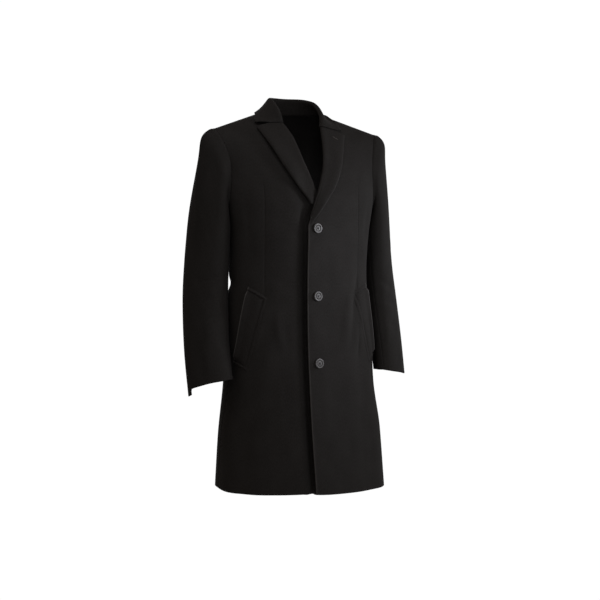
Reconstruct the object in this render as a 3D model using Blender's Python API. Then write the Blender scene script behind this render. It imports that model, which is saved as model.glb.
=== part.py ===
"""Single-breasted men's topcoat in its worn shape, with three buttons, notch lapels and slanted welts.

Metres. The front faces -Y, the wearer's left is +X and +Z is up. The origin is the middle of the
neck at the height where the shoulder seams end, which is where the coat hangs from the wearer.
"""

import math

import bmesh
import bpy
from mathutils import Matrix, Vector

# Cloth and seams
WALL = 0.003
SLEEVE_WALL = 0.0025
FOLD_WALL = 0.0024
SEAM = 0.0004

# Heights of the body
HEM_Z = -0.945
ARMPIT_Z = -0.247
CHEST_Z = -0.235
SHOULDER_Z = -0.053
NECK_Z = -0.002

# Shoulder line, from the neck out to the sleeve
SHOULDER_X = 0.221
SHOULDER_SLOPE = math.tan(math.radians(20))
SHOULDER_FORWARD = 0.020
NECK_BACK = 0.018
NECK_X = SHOULDER_X - (NECK_Z - SHOULDER_Z) / SHOULDER_SLOPE

# Body sections: height, half width, depth of the side line, front, back, closing edge
BODY = (
    (-0.960, 0.2200, -0.050, -0.222, 0.122, -0.028),
    (-0.800, 0.2105, -0.050, -0.194, 0.118, -0.028),
    (-0.680, 0.1985, -0.050, -0.179, 0.115, -0.028),
    (-0.580, 0.1930, -0.051, -0.169, 0.106, -0.028),
    (-0.430, 0.1750, -0.052, -0.163, 0.082, -0.028),
    (-0.320, 0.1800, -0.050, -0.163, 0.092, -0.028),
    (-0.235, 0.1950, -0.044, -0.160, 0.103, -0.018),
    (-0.150, 0.2100, -0.030, -0.160, 0.106, -0.004),
    (-0.050, 0.2360, -0.022, -0.160, 0.106, 0.000),
    (0.040, 0.2360, -0.010, -0.160, 0.106, 0.000),
)
FRONT_PROW = 1.50
FRONT_SQUARE = 2.30
BACK_ROUND = 2.20

# How much the hem lies above its lowest part: degrees round the body from the closing edge, lift
HEM_LIFT = ((-180, 0.006), (-90, 0.016), (0, 0.014), (90, 0.000), (180, 0.006))
HEM_LIFT_FROM = -0.600

# Largest soft folds: degrees round the body, spread in degrees, bottom, top, height out of the cloth
FOLDS = (
    (33, 9, -0.66, -0.38, 0.0030),
    (52, 9, -0.95, -0.52, -0.0030),
    (-40, 10, -0.72, -0.42, 0.0025),
    (-62, 9, -0.95, -0.55, -0.0030),
    (122, 11, -0.98, -0.50, -0.0050),
    (148, 11, -0.98, -0.46, 0.0060),
    (82, 15, -0.80, -0.50, -0.0050),
    (-82, 15, -0.82, -0.50, -0.0085),
    (-120, 11, -0.98, -0.52, -0.0050),
    (-145, 11, -0.98, -0.48, 0.0060),
)
FOLD_FADES_LOW = 0.4
FOLD_FADES_HIGH = 0.5
HEM_FOLD_FADES = 0.6

# How the chest and the upper back turn over to the shoulder line: start, hollow, turn
CHEST_TURN = (CHEST_Z, 1.5, 1.6)
BACK_TURN = (CHEST_Z, 3.5, 2.2)

# Armhole: how far it is cut into the front and the back, in degrees round the body
ARMHOLE_FRONT = 13
ARMHOLE_BACK = 16
ARMHOLE_FULL = 0.6

# Closing edge and roll line of the left front: height, distance from the middle
EDGE = (
    (-1.000, -0.0280),
    (-0.300, -0.0280),
    (-0.240, -0.0090),
    (-0.200, 0.0080),
    (-0.151, 0.0270),
    (-0.100, 0.0390),
    (-0.050, 0.0490),
    (-0.025, 0.0580),
    (NECK_Z, NECK_X - 0.006),
)

# How far the right front is set in under the left one, and where that begins and is full
UNDER_DIP = 0.0046
UNDER_FROM_X, UNDER_FULL_X = 0.064, 0.026
UNDER_FROM_Z, UNDER_FULL_Z = -0.150, -0.205
CROSSING_DIP = 0.0050
CROSSING_FROM_Z, CROSSING_FULL_Z = -0.300, -0.260

# Lapels: where their rolls end below, the gorge seam, and the outer edge as height and distance
LAPEL_LEFT_END = -0.286
LAPEL_RIGHT_END = -0.232
GORGE_Z = -0.030
GORGE_GAP = 0.0006
NOTCH = (0.0930, -0.0340)
COLLAR_CORNER = (0.1170, -0.0320)
LAPEL_EDGE = (
    (-0.290, -0.0240),
    (-0.265, -0.0030),
    (-0.230, 0.0235),
    (-0.190, 0.0530),
    (-0.150, 0.0750),
    (-0.100, 0.0975),
    (-0.050, 0.1190),
)
LAPEL_LIFT = 0.0052
LAPEL_SETTLES = 0.75
FALL_HOLLOW = 0.004

# Cross-section of the turned edge of lapel and collar: outward, over the cloth
ROLL = (
    (-0.0037, -0.0026),
    (-0.0048, -0.0005),
    (-0.0044, 0.0024),
    (-0.0020, 0.0046),
    (0.0020, 0.0054),
)

# Collar stations from the middle of the back to the front end of the left half:
# core of the fold, bottom of the stand, outer edge in plan, lift of that edge
COLLAR = (
    ((0.000, 0.0560, 0.0370), (0.000, 0.0580, -0.0010), (0.000, 0.0760), 0.006),
    ((0.034, 0.0480, 0.0370), (0.040, 0.0510, -0.0010), (0.053, 0.0660), 0.006),
    ((0.055, 0.0240, 0.0340), (0.066, 0.0270, -0.0010), (0.088, 0.0410), 0.006),
    ((0.060, 0.0000, 0.0270), (0.073, 0.0000, -0.0010), (0.101, 0.0060), 0.005),
    ((0.060, -0.0300, 0.0090), (0.067, -0.0240, -0.0060), (0.110, -0.0160), 0.005),
    ((0.058, -0.0480, -0.0100), (0.060, -0.0420, -0.0160), (0.116, -0.0290), 0.005),
)

COLLAR_LIES_FROM = 0.45
COLLAR_MEETS_FROM = 0.84

# Sleeve sections of the right arm: height, out, back, two half sizes, turn, rise of the front
SLEEVE = (
    (-0.300, 0.2290, -0.006, 0.0385, 0.0720, 20, 0.00),
    (-0.400, 0.2350, -0.006, 0.0400, 0.0680, 27, 0.02),
    (-0.480, 0.2395, -0.014, 0.0410, 0.0640, 34, 0.08),
    (-0.590, 0.2430, -0.037, 0.0390, 0.0600, 42, 0.22),
    (-0.688, 0.2415, -0.063, 0.0370, 0.0580, 46, 0.34),
)
SLEEVE_BY_HEIGHT = tuple(reversed(SLEEVE))
SLEEVE_TOP = SLEEVE[0][0]
SLEEVE_END = SLEEVE[-1][0]
LEFT_SLEEVE_SHORTER = 0.93
CAP_REACH = 0.115
CAP_DROP = 1.5
UNDERARM_REACH = 0.030
CAP_CLOSER = 1.3
ARMHOLE_GAP = 0.0015
FRONT_SEAM = 0.14
BACK_SEAM = 0.80

# Pocket welt corners on the left and the right front: distance from the middle, height
WELT = {
    1: ((0.118, -0.4575), (0.159, -0.4405), (0.181, -0.6095), (0.164, -0.6245)),
    -1: ((0.1295, -0.469), (0.159, -0.447), (0.192, -0.619), (0.172, -0.6335)),
}
WELT_WALL = 0.0026
WELT_GAP = 0.0010

# Buttons: heights of their middles, distance from the middle, and the turned half-section of one
BUTTON_Z = (-0.299, -0.462, -0.625)
BUTTON_X = -0.006
BUTTON_RADIUS = 0.0114
BUTTON_THICK = 0.0042
BUTTON_SECTION = (
    (0.0, 0.0),
    (0.78, 0.0),
    (1.0, 0.45),
    (0.93, 0.92),
    (0.80, 1.0),
    (0.64, 0.78),
    (0.0, 0.66),
)
BUTTON_SIDES = 24
BUTTON_STANDS = SEAM + 0.0003
MERGE = 0.00001

# Vent of the back
VENT_TOP = -0.560
VENT_LAP = 0.040
VENT_DIP = 0.0040
VENT_SLANT = 0.030
VENT_DIP_FROM_Z, VENT_DIP_FULL_Z = VENT_TOP + 0.140, VENT_TOP + 0.080
VENT_DIP_FROM_X, VENT_DIP_FULL_X = 0.050, 0.006

# Divisions of the panels
SKIRT_ROWS = 17
ARMHOLE_ROWS = 9
SHOULDER_ROWS = 5
FRONT_COLUMNS = 13
CLOSER_AT_SIDE = 1.25
BACK_COLUMNS = 10
CAP_ROWS = 7
ARM_ROWS = 14
LAPEL_ROWS = 12
CLOSER_AT_GORGE = 1.6
LAPEL_COLUMNS = 4
COLLAR_STATIONS = 26
FALL_STEPS = LAPEL_COLUMNS
STAND_STEPS = 2
WELT_ROWS = 7
WELT_COLUMNS = 3
SLEEVE_TOP_COLUMNS = 9
SLEEVE_UNDER_COLUMNS = 6

# Steps for reading directions off the form: degrees, heights, shares of a ring, rows, collar places
ANGLE_STEP = 0.5
STEP_UP, STEP_DOWN = 0.0005, 0.0015
AT_RIDGE = 0.002
EDGE_STEP = 0.002
ARM_STEP = 0.010
SHARE_STEP = 0.004
ROW_STEP = 0.2
RING_SPOTS = 12
NEAR_ROWS = (-1, -0.5, 0, 0.5, 1)
NEAR_WEIGHT = 1 / 3
COLLAR_STEP = 0.02

# Base colours of cloth and buttons
WOOL = (0.012, 0.011, 0.010)
BUTTON_GREY = (0.14, 0.14, 0.14)
WOOL_ROUGH = 0.9
BUTTON_ROUGH = 0.35


def curve_value(rows, at, column):
    """Value of one column of a table at a height, by a smooth curve through its rows."""
    if at <= rows[0][0]:
        return rows[0][column]
    if at >= rows[-1][0]:
        return rows[-1][column]
    k = max(i for i in range(len(rows) - 1) if rows[i][0] <= at)

    def slope(i):
        low, high = max(i - 1, 0), min(i + 1, len(rows) - 1)
        return (rows[high][column] - rows[low][column]) / (rows[high][0] - rows[low][0])

    span = rows[k + 1][0] - rows[k][0]
    t = (at - rows[k][0]) / span
    return hermite(rows[k][column], rows[k + 1][column], slope(k) * span, slope(k + 1) * span, t)


def hermite(start, end, leaving, arriving, t):
    """Point at t of the cubic that leaves and arrives with the given tangents."""
    return (
        start * (2 * t**3 - 3 * t**2 + 1)
        + leaving * (t**3 - 2 * t**2 + t)
        + end * (3 * t**2 - 2 * t**3)
        + arriving * (t**3 - t**2)
    )


def ease(low, high, value):
    """Smooth step from 0 at low to 1 at high."""
    t = min(1, max(0, (value - low) / (high - low)))
    return t * t * (3 - 2 * t)


# Form of the body
def ridge(x):
    """Height and depth of the shoulder line at a distance from the middle."""
    out = abs(x)
    height = SHOULDER_Z + (SHOULDER_X - out) * SHOULDER_SLOPE
    outwards = max(0, out - NECK_X) / (SHOULDER_X - NECK_X)
    return height, NECK_BACK - (NECK_BACK + SHOULDER_FORWARD) * outwards


def turned(y, x, z, turn):
    """Depth after the form has turned over towards the shoulder line."""
    start, hollow, round_off = turn
    if z <= start:
        return y
    top, line = ridge(x)
    up = min(1, (z - start) / (top - start))
    return line + (y - line) * (1 - up**hollow) ** (1 / round_off)


def body_point(side, angle, z):
    """Outer face of the coat body. The angle is 0 at the closing edge, 90 at the side, 180 behind."""
    if angle < 0:
        side, angle = -side, -angle
    if angle > 180:
        side, angle = -side, 360 - angle
    half, middle, front, back, edge = (curve_value(BODY, z, c) for c in range(1, 6))
    turn = math.radians(angle)
    if angle <= 90:
        x = edge + side * (half - side * edge) * math.sin(turn) ** (2 / FRONT_PROW)
        y = turned(middle - (middle - front) * math.cos(turn) ** (2 / FRONT_SQUARE), x, z, CHEST_TURN)
    else:
        x = side * half * max(0, math.sin(turn)) ** (2 / BACK_ROUND)
        y = turned(middle - (back - middle) * math.cos(turn), x, z, BACK_TURN)
    out = fold_height(side * angle, z)
    lift = hem_lift(side * angle, z)
    return Vector((x + side * out * math.sin(turn), y - out * math.cos(turn), z + lift))


def fold_height(angle, z):
    """How far the soft folds stand out of the body's even form."""
    out = 0.0
    for middle, spread, bottom, top, height in FOLDS:
        length = top - bottom
        if bottom < HEM_Z:
            along = ease(top, top - length * HEM_FOLD_FADES, z)
        else:
            along = ease(top, top - length * FOLD_FADES_HIGH, z)
            along *= ease(bottom, bottom + length * FOLD_FADES_LOW, z)
        out += height * along * math.exp(-(((angle - middle) / spread) ** 2))
    return out


def hem_lift(angle, z):
    """How far the lower part of the body is raised at an angle round it."""
    return curve_value(HEM_LIFT, angle, 1) * ease(HEM_LIFT_FROM, HEM_Z, z)


def front_angle(side, x, z):
    """Angle round the front of a point at distance x from the middle, on the given side."""
    half, edge = curve_value(BODY, z, 1), side * curve_value(BODY, z, 5)
    if x >= edge:
        return math.degrees(math.asin(min(1, (x - edge) / (half - edge)) ** (FRONT_PROW / 2)))
    return -math.degrees(math.asin(min(1, (edge - x) / (half + edge)) ** (FRONT_PROW / 2)))


def back_angle(x, z):
    """Angle round the back of a point at distance x from the middle."""
    half = curve_value(BODY, z, 1)
    return 180 - math.degrees(math.asin(min(1, abs(x) / half) ** (BACK_ROUND / 2)))


def body_normal(side, angle, z):
    """Outward direction of the body."""
    if z >= SHOULDER_Z:
        top = ridge(abs(body_point(side, angle, z).x))[0]
        if top - z < AT_RIDGE:
            return Vector((side * SHOULDER_SLOPE, 0, 1)).normalized()
    across = body_point(side, angle + ANGLE_STEP, z) - body_point(side, angle - ANGLE_STEP, z)
    along = body_point(side, angle, z + STEP_UP) - body_point(side, angle, z - STEP_DOWN)
    return (across.cross(along) * side).normalized()


def under_dip(side, x, z):
    """How far the right front is set in, where it passes under the left one."""
    if side > 0:
        return 0
    lapped = ease(UNDER_FROM_X, UNDER_FULL_X, x) * ease(UNDER_FROM_Z, UNDER_FULL_Z, z)
    return lapped * (UNDER_DIP + CROSSING_DIP * ease(CROSSING_FROM_Z, CROSSING_FULL_Z, z))


def front_point(side, x, z, lift=0.0):
    """Point over the front of the coat, at a lift from its outer face."""
    angle = front_angle(side, x, z)
    normal = body_normal(side, angle, z)
    return body_point(side, angle, z) + normal * (lift - under_dip(side, x, z))


def shoulder_height(x, y):
    """Height of the coat over a spot of the shoulder, given in plan."""
    top, line = ridge(x)
    start, hollow, round_off = CHEST_TURN if y < line else BACK_TURN
    reach = body_point(1, 0 if y < line else 180, start).y
    share = min(1, abs(y - line) / abs(reach - line))
    return start + (top - start) * (1 - share**round_off) ** (1 / hollow)


def armhole_angle(part, z):
    """Angle round the body of the armhole's edge at a height, for the front or the back."""
    up = (z - ARMPIT_Z) / (SHOULDER_Z - ARMPIT_Z)
    cut = (4 * up * max(0, 1 - up)) ** ARMHOLE_FULL
    if part == "front":
        return 90 + (front_angle(1, SHOULDER_X, SHOULDER_Z) - 90) * up - ARMHOLE_FRONT * cut
    return 90 + (back_angle(SHOULDER_X, SHOULDER_Z) - 90) * up + ARMHOLE_BACK * cut


def seam_angle(side, part, z):
    """Angle round the body of the edge opposite the middle: side seam, armhole or shoulder."""
    if z <= ARMPIT_Z:
        return 90
    if z <= SHOULDER_Z:
        return armhole_angle(part, z)
    x = SHOULDER_X - (z - SHOULDER_Z) / SHOULDER_SLOPE
    return front_angle(side, x, z) if part == "front" else back_angle(x, z)


def row_heights():
    """Heights of the panels' rows from the hem to the neck."""
    rows = [HEM_Z + (ARMPIT_Z - HEM_Z) * i / SKIRT_ROWS for i in range(SKIRT_ROWS)]
    for i in range(ARMHOLE_ROWS):
        rows.append(ARMPIT_Z + (SHOULDER_Z - ARMPIT_Z) * (1 - math.cos(math.pi * i / ARMHOLE_ROWS)) / 2)
    for i in range(SHOULDER_ROWS + 1):
        rows.append(SHOULDER_Z + (NECK_Z - SHOULDER_Z) * i / SHOULDER_ROWS)
    return rows


# Making of the solids
def clear_scene():
    """Empties the startup scene."""
    for thing in list(bpy.data.objects):
        bpy.data.objects.remove(thing, do_unlink=True)
    group = bpy.data.collections.new("topcoat")
    bpy.context.scene.collection.children.link(group)
    return group


def material(name, colour, roughness):
    """Principled material of one node."""
    made = bpy.data.materials.new(name)
    made.use_nodes = True
    shader = made.node_tree.nodes["Principled BSDF"]
    shader.inputs["Base Color"].default_value = (*colour, 1)
    shader.inputs["Roughness"].default_value = roughness
    return made


def place(name, shape, colour, roughness):
    """Puts a finished shape into the coat as one named node."""
    bmesh.ops.recalc_face_normals(shape, faces=shape.faces[:])
    mesh = bpy.data.meshes.new(name)
    shape.to_mesh(mesh)
    shape.free()
    mesh.materials.append(material(name, colour, roughness))
    node = bpy.data.objects.new(name, mesh)
    COAT.objects.link(node)


def draw_in(grid, start=0.0, end=0.0):
    """Moves the first and last column of a grid of points inwards, to leave the seams open."""
    for row in grid:
        row[0] = row[0] + (row[1] - row[0]).normalized() * start
        row[-1] = row[-1] + (row[-2] - row[-1]).normalized() * end


def cloth(name, outer, normals, wall):
    """Wall of cloth under a grid of points, as thick as given."""
    rows, columns = len(outer), len(outer[0])
    shape = bmesh.new()
    bmesh.ops.create_grid(shape, x_segments=columns - 1, y_segments=rows - 1, size=0.5)
    shown = list(shape.verts)
    extruded = bmesh.ops.extrude_face_region(shape, geom=shape.faces[:])["geom"]
    inner = [v for v in extruded if isinstance(v, bmesh.types.BMVert)]
    for depth, layer in ((0, shown), (wall, inner)):
        for v in layer:
            i, j = round((v.co.y + 0.5) * (rows - 1)), round((v.co.x + 0.5) * (columns - 1))
            v.co = outer[i][j] - normals[i][j] * depth
    bmesh.ops.triangulate(shape, faces=shape.faces[:], quad_method="SHORT_EDGE")
    place(name, shape, WOOL, WOOL_ROUGH)


def grid_normals(grid, flip=1):
    """Outward directions of a grid of points, from its own rows and columns."""
    rows, columns = len(grid), len(grid[0])
    normals = []
    for i in range(rows):
        line = []
        for j in range(columns):
            along = grid[min(i + 1, rows - 1)][j] - grid[max(i - 1, 0)][j]
            across = grid[i][min(j + 1, columns - 1)] - grid[i][max(j - 1, 0)]
            line.append(across.cross(along).normalized() * flip)
        normals.append(line)
    return normals


# Fronts
def make_front(name, side):
    """Front panel between its closing edge or roll line and the side, armhole and shoulder."""
    outer, normals = [], []
    for z in row_heights():
        edge = curve_value(EDGE, z, 1)
        begin, finish = front_angle(side, edge, z), seam_angle(side, "front", z)
        line, facing = [], []
        for j in range(FRONT_COLUMNS + 1):
            angle = finish + (begin - finish) * (1 - j / FRONT_COLUMNS) ** CLOSER_AT_SIDE
            normal = body_normal(side, angle, z)
            point = body_point(side, angle, z)
            line.append(point - normal * under_dip(side, side * point.x, z))
            facing.append(normal)
        outer.append(line)
        normals.append(facing)
    draw_in(outer, end=SEAM / 2)
    cloth(name, outer, normals, WALL)


# Backs
def make_back(name, side, lap):
    """Half of the back, from the centre-back seam to the side, armhole and shoulder."""
    outer, normals = [], []
    for z in row_heights():
        under = lap * ease(VENT_TOP + VENT_SLANT, VENT_TOP - VENT_SLANT, z)
        set_in = VENT_DIP * ease(VENT_DIP_FROM_Z, VENT_DIP_FULL_Z, z) * lap / VENT_LAP
        half = curve_value(BODY, z, 1)
        begin = 180 + math.degrees(math.asin((under / half) ** (BACK_ROUND / 2)))
        finish = seam_angle(side, "back", z)
        line, facing = [], []
        for j in range(BACK_COLUMNS + 1):
            angle = begin + (finish - begin) * j / BACK_COLUMNS
            point, normal = body_point(side, angle, z), body_normal(side, angle, z)
            dip = set_in * ease(VENT_DIP_FROM_X, VENT_DIP_FULL_X, side * point.x)
            line.append(point - normal * dip)
            facing.append(normal)
        outer.append(line)
        normals.append(facing)
    draw_in(outer, start=SEAM / 2, end=SEAM / 2)
    cloth(name, outer, normals, WALL)


# Sleeves
def armhole_point(side, share):
    """Point of the armhole: share 0 under the arm, 0.25 in front, 0.5 on the shoulder, 0.75 behind."""
    z = ARMPIT_Z + (SHOULDER_Z - ARMPIT_Z) * (1 - math.cos(2 * math.pi * share)) / 2
    part = "front" if share <= 0.5 else "back"
    return body_point(side, armhole_angle(part, z), z)


def sleeve_ring(side, share, z):
    """Point of the arm's section at a height."""
    out, back, narrow, wide, turn, rise = (curve_value(SLEEVE_BY_HEIGHT, z, c) for c in range(1, 7))
    around = 2 * math.pi * share
    lateral, forward = -math.cos(around), math.sin(around)
    swing = math.radians(turn)
    along = forward * math.cos(swing) - lateral * math.sin(swing)
    aside = lateral * math.cos(swing) + forward * math.sin(swing)
    reach = 1 / math.hypot(along / wide, aside / narrow)
    drop = z if side < 0 else SLEEVE_TOP + (z - SLEEVE_TOP) * LEFT_SLEEVE_SHORTER
    return Vector((side * (out + reach * lateral), back - reach * forward, drop + rise * reach * along))


def sleeve_point(side, share, row):
    """Outer face of the sleeve: rows run from the armhole over the cap and down the arm."""
    if row >= CAP_ROWS:
        down = (row - CAP_ROWS) / ARM_ROWS
        return sleeve_ring(side, share, SLEEVE_TOP + (SLEEVE_END - SLEEVE_TOP) * down)
    start, end = armhole_point(side, share), sleeve_ring(side, share, SLEEVE_TOP)
    start = start + Vector((side * ARMHOLE_GAP, 0, 0))
    crown = (1 - math.cos(2 * math.pi * share)) / 2
    leaving = Vector((side, 0, 0)) * (UNDERARM_REACH + (CAP_REACH - UNDERARM_REACH) * crown)
    below = sleeve_ring(side, share, SLEEVE_TOP - ARM_STEP)
    arriving = (below - end).normalized() * (start - end).length * (1 + (CAP_DROP - 1) * crown)
    return hermite(start, end, leaving, arriving, (row / CAP_ROWS) ** CAP_CLOSER)


def sleeve_normal(side, share, row):
    """Outward direction of the sleeve, evened out over the rows next to it."""
    last = CAP_ROWS + ARM_ROWS
    around = [sleeve_point(side, k / RING_SPOTS, row) for k in range(RING_SPOTS)]
    facing = (sleeve_point(side, share, row) - sum(around, Vector()) / RING_SPOTS).normalized()
    for near in NEAR_ROWS:
        at = min(last - ROW_STEP, max(ROW_STEP, row + near))
        ahead, behind = (share + SHARE_STEP) % 1, (share - SHARE_STEP) % 1
        across = sleeve_point(side, ahead, at) - sleeve_point(side, behind, at)
        down = sleeve_point(side, share, at + ROW_STEP) - sleeve_point(side, share, at - ROW_STEP)
        facing += (across.cross(down) * -side).normalized() * NEAR_WEIGHT
    return facing.normalized()


def make_sleeve(name, side, begin, finish, columns):
    """One piece of a two-piece sleeve, between its front and back seams."""
    outer, normals = [], []
    for row in range(CAP_ROWS + ARM_ROWS + 1):
        line, facing = [], []
        for j in range(columns + 1):
            share = (begin + (finish - begin) * j / columns) % 1
            line.append(sleeve_point(side, share, row))
            facing.append(sleeve_normal(side, share, row))
        outer.append(line)
        normals.append(facing)
    draw_in(outer, start=SEAM / 2, end=SEAM / 2)
    cloth(name, outer, normals, SLEEVE_WALL)


# Lapels
def gorge_spot(k, corner):
    """Place of one column of the gorge seam and of the notch edge beyond it: distance, height."""
    roll_x = curve_value(EDGE, GORGE_Z, 1)
    if k == LAPEL_COLUMNS:
        return corner
    share = k / (LAPEL_COLUMNS - 1)
    return roll_x + (NOTCH[0] - roll_x) * share, GORGE_Z + (NOTCH[1] - GORGE_Z) * share


def lapel_row(side, z, edge_x, edge_z, at_gorge):
    """Points of one row of a lapel, from under the roll line to the outer edge."""
    roll_x = curve_value(EDGE, z, 1)
    laid = []
    for k in range(1, LAPEL_COLUMNS + 1):
        share = k / LAPEL_COLUMNS
        x, height = roll_x + (edge_x - roll_x) * share, z + (edge_z - z) * share
        seam_x, seam_z = gorge_spot(k, (edge_x, edge_z))
        x, height = x + (seam_x - x) * at_gorge, height + (seam_z - GORGE_GAP - height) * at_gorge
        laid.append(front_point(side, x, height, LAPEL_LIFT))
    return turned_edge(side, roll_x, z, laid[0]) + laid


def turned_edge(side, roll_x, z, ahead):
    """Points of the fold at the roll line, for cloth that then lies towards the point ahead."""
    at_roll = front_point(side, roll_x, z)
    normal = body_normal(side, front_angle(side, roll_x, z), z)
    low, high = z - EDGE_STEP, z + EDGE_STEP
    above = front_point(side, curve_value(EDGE, high, 1), high)
    run = above - front_point(side, curve_value(EDGE, low, 1), low)
    outward = normal.cross(run).normalized()
    outward *= math.copysign(1, outward.dot(ahead - at_roll))
    return [at_roll + outward * out + normal * over for out, over in ROLL]


def make_lapel(name, side, bottom):
    """Turned-out facing of one front, from the gorge down to the end of the roll."""
    outer = []
    corner_z = LAPEL_EDGE[-1][0]
    for i in range(LAPEL_ROWS + 1):
        up = 1 - (1 - i / LAPEL_ROWS) ** CLOSER_AT_GORGE
        z = bottom + (GORGE_Z - GORGE_GAP - bottom) * up
        edge_z = bottom + (corner_z - bottom) * up
        edge_x = curve_value(LAPEL_EDGE, edge_z, 1)
        outer.append(lapel_row(side, z, edge_x, edge_z, ease(LAPEL_SETTLES, 1, up)))
    cloth(name, outer, grid_normals(outer, side), FOLD_WALL)


# Collar
def collar_station(at):
    """Core, stand bottom and outer edge of the collar at a place from 0 behind to 1 at the gorge."""
    rows = []
    for k, (core, base, edge, lift) in enumerate(COLLAR):
        rows.append((k / len(COLLAR), *core, *base, *edge, lift))
    place, x, y, z, foot_x, foot_y, foot_z, edge_x, edge_y, lift = rows[1]
    rows.insert(0, (-place, -x, y, z, -foot_x, foot_y, foot_z, -edge_x, edge_y, lift))
    roll_x = curve_value(EDGE, GORGE_Z, 1)
    end = front_point(1, roll_x, GORGE_Z)
    start = turned_edge(1, roll_x, GORGE_Z, front_point(1, *NOTCH))[0]
    tip = front_point(1, *COLLAR_CORNER)
    rows.append((1, *end, *start, tip.x, tip.y, COLLAR[-1][-1]))
    values = [curve_value(rows, at, c) for c in range(1, 10)]
    edge = Vector((values[6], values[7], shoulder_height(values[6], values[7]) + values[8]))
    return Vector(values[0:3]), Vector(values[3:6]), edge


def collar_line(at):
    """Points of one collar section, from the bottom of the stand over the fold to the outer edge."""
    side = 1 if at >= 0 else -1
    core, base, edge = collar_station(abs(at))
    ahead = collar_station(min(1, abs(at) + COLLAR_STEP))[0]
    behind = collar_station(max(0, abs(at) - COLLAR_STEP))[0]
    run = (ahead - behind).normalized() if abs(at) > 0 else Vector((1, 0, 0))
    chest = body_normal(1, front_angle(1, curve_value(EDGE, GORGE_Z, 1), GORGE_Z), GORGE_Z)
    over = Vector((0, 0, 1)).lerp(chest, ease(COLLAR_LIES_FROM, 1, abs(at)))
    over = (over - run * over.dot(run)).normalized()
    outward = over.cross(run) * -1
    if outward.dot(edge - core) < 0:
        outward = -outward
    fold = [core + outward * out + over * high for out, high in ROLL[1:]]
    line = [base.lerp(fold[0], k / STAND_STEPS) for k in range(STAND_STEPS)] + fold
    for k in range(1, FALL_STEPS + 1):
        share = k / FALL_STEPS
        line.append(fold[-1].lerp(edge, share) - over * FALL_HOLLOW * math.sin(math.pi * share))
    roll_x = curve_value(EDGE, GORGE_Z, 1)
    laid = [front_point(1, *gorge_spot(k, COLLAR_CORNER), LAPEL_LIFT) for k in range(1, FALL_STEPS + 1)]
    turn = turned_edge(1, roll_x, GORGE_Z, laid[0])
    last = [turn[0].lerp(turn[1], k / STAND_STEPS) for k in range(STAND_STEPS)] + turn[1:] + laid
    line = [p.lerp(q, ease(COLLAR_MEETS_FROM, 1, abs(at))) for p, q in zip(line, last)]
    return [Vector((side * p.x, p.y, p.z)) for p in line]


def make_collar():
    """Folded strip round the neck, from one gorge to the other."""
    outer = []
    for i in range(COLLAR_STATIONS + 1):
        outer.append(collar_line(2 * i / COLLAR_STATIONS - 1))
    cloth("collar", outer, grid_normals(outer, 1), FOLD_WALL)


# Pocket welts
def make_welt(name, side):
    """Slanted welt, lying on the front between four corners."""
    outer, normals = [], []
    top_front, top_back, low_back, low_front = WELT[side]
    for i in range(WELT_ROWS + 1):
        down = i / WELT_ROWS
        line, facing = [], []
        for j in range(WELT_COLUMNS + 1):
            back = j / WELT_COLUMNS
            upper = [a + (b - a) * back for a, b in zip(top_front, top_back)]
            lower = [a + (b - a) * back for a, b in zip(low_front, low_back)]
            x, z = (a + (b - a) * down for a, b in zip(upper, lower))
            line.append(front_point(side, x, z, WELT_WALL + WELT_GAP))
            facing.append(body_normal(side, front_angle(side, x, z), z))
        outer.append(line)
        normals.append(facing)
    cloth(name, outer, normals, WELT_WALL)


# Buttons
def make_button(name, z):
    """Turned button with a raised rim, lying on the left front."""
    shape = bmesh.new()
    ring = [shape.verts.new((r * BUTTON_RADIUS, 0, h * BUTTON_THICK)) for r, h in BUTTON_SECTION]
    edges = [shape.edges.new(pair) for pair in zip(ring, ring[1:])]
    bmesh.ops.spin(
        shape,
        geom=ring + edges,
        cent=(0, 0, 0),
        axis=(0, 0, 1),
        angle=2 * math.pi,
        steps=BUTTON_SIDES,
        use_merge=True,
    )
    bmesh.ops.remove_doubles(shape, verts=shape.verts[:], dist=MERGE)
    normal = body_normal(1, front_angle(1, BUTTON_X, z), z)
    seat = front_point(1, BUTTON_X, z, BUTTON_STANDS)
    turn = Vector((0, 0, 1)).rotation_difference(normal).to_matrix().to_4x4()
    bmesh.ops.transform(shape, matrix=Matrix.Translation(seat) @ turn, verts=shape.verts[:])
    place(name, shape, BUTTON_GREY, BUTTON_ROUGH)


COAT = clear_scene()
make_front("front_left", 1)
make_front("front_right", -1)
make_back("back_left", 1, 0)
make_back("back_right", -1, VENT_LAP)
for arm, arm_side in (("left", 1), ("right", -1)):
    make_sleeve(f"sleeve_{arm}_top", arm_side, FRONT_SEAM, BACK_SEAM, SLEEVE_TOP_COLUMNS)
    make_sleeve(f"sleeve_{arm}_under", arm_side, BACK_SEAM, 1 + FRONT_SEAM, SLEEVE_UNDER_COLUMNS)
make_lapel("lapel_left", 1, LAPEL_LEFT_END)
make_lapel("lapel_right", -1, LAPEL_RIGHT_END)
make_collar()
make_welt("welt_left", 1)
make_welt("welt_right", -1)
for count, height in enumerate(BUTTON_Z, 1):
    make_button(f"button_{count}", height)
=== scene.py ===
import math

import bpy
import numpy as np
from mathutils import Matrix, Vector


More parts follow.
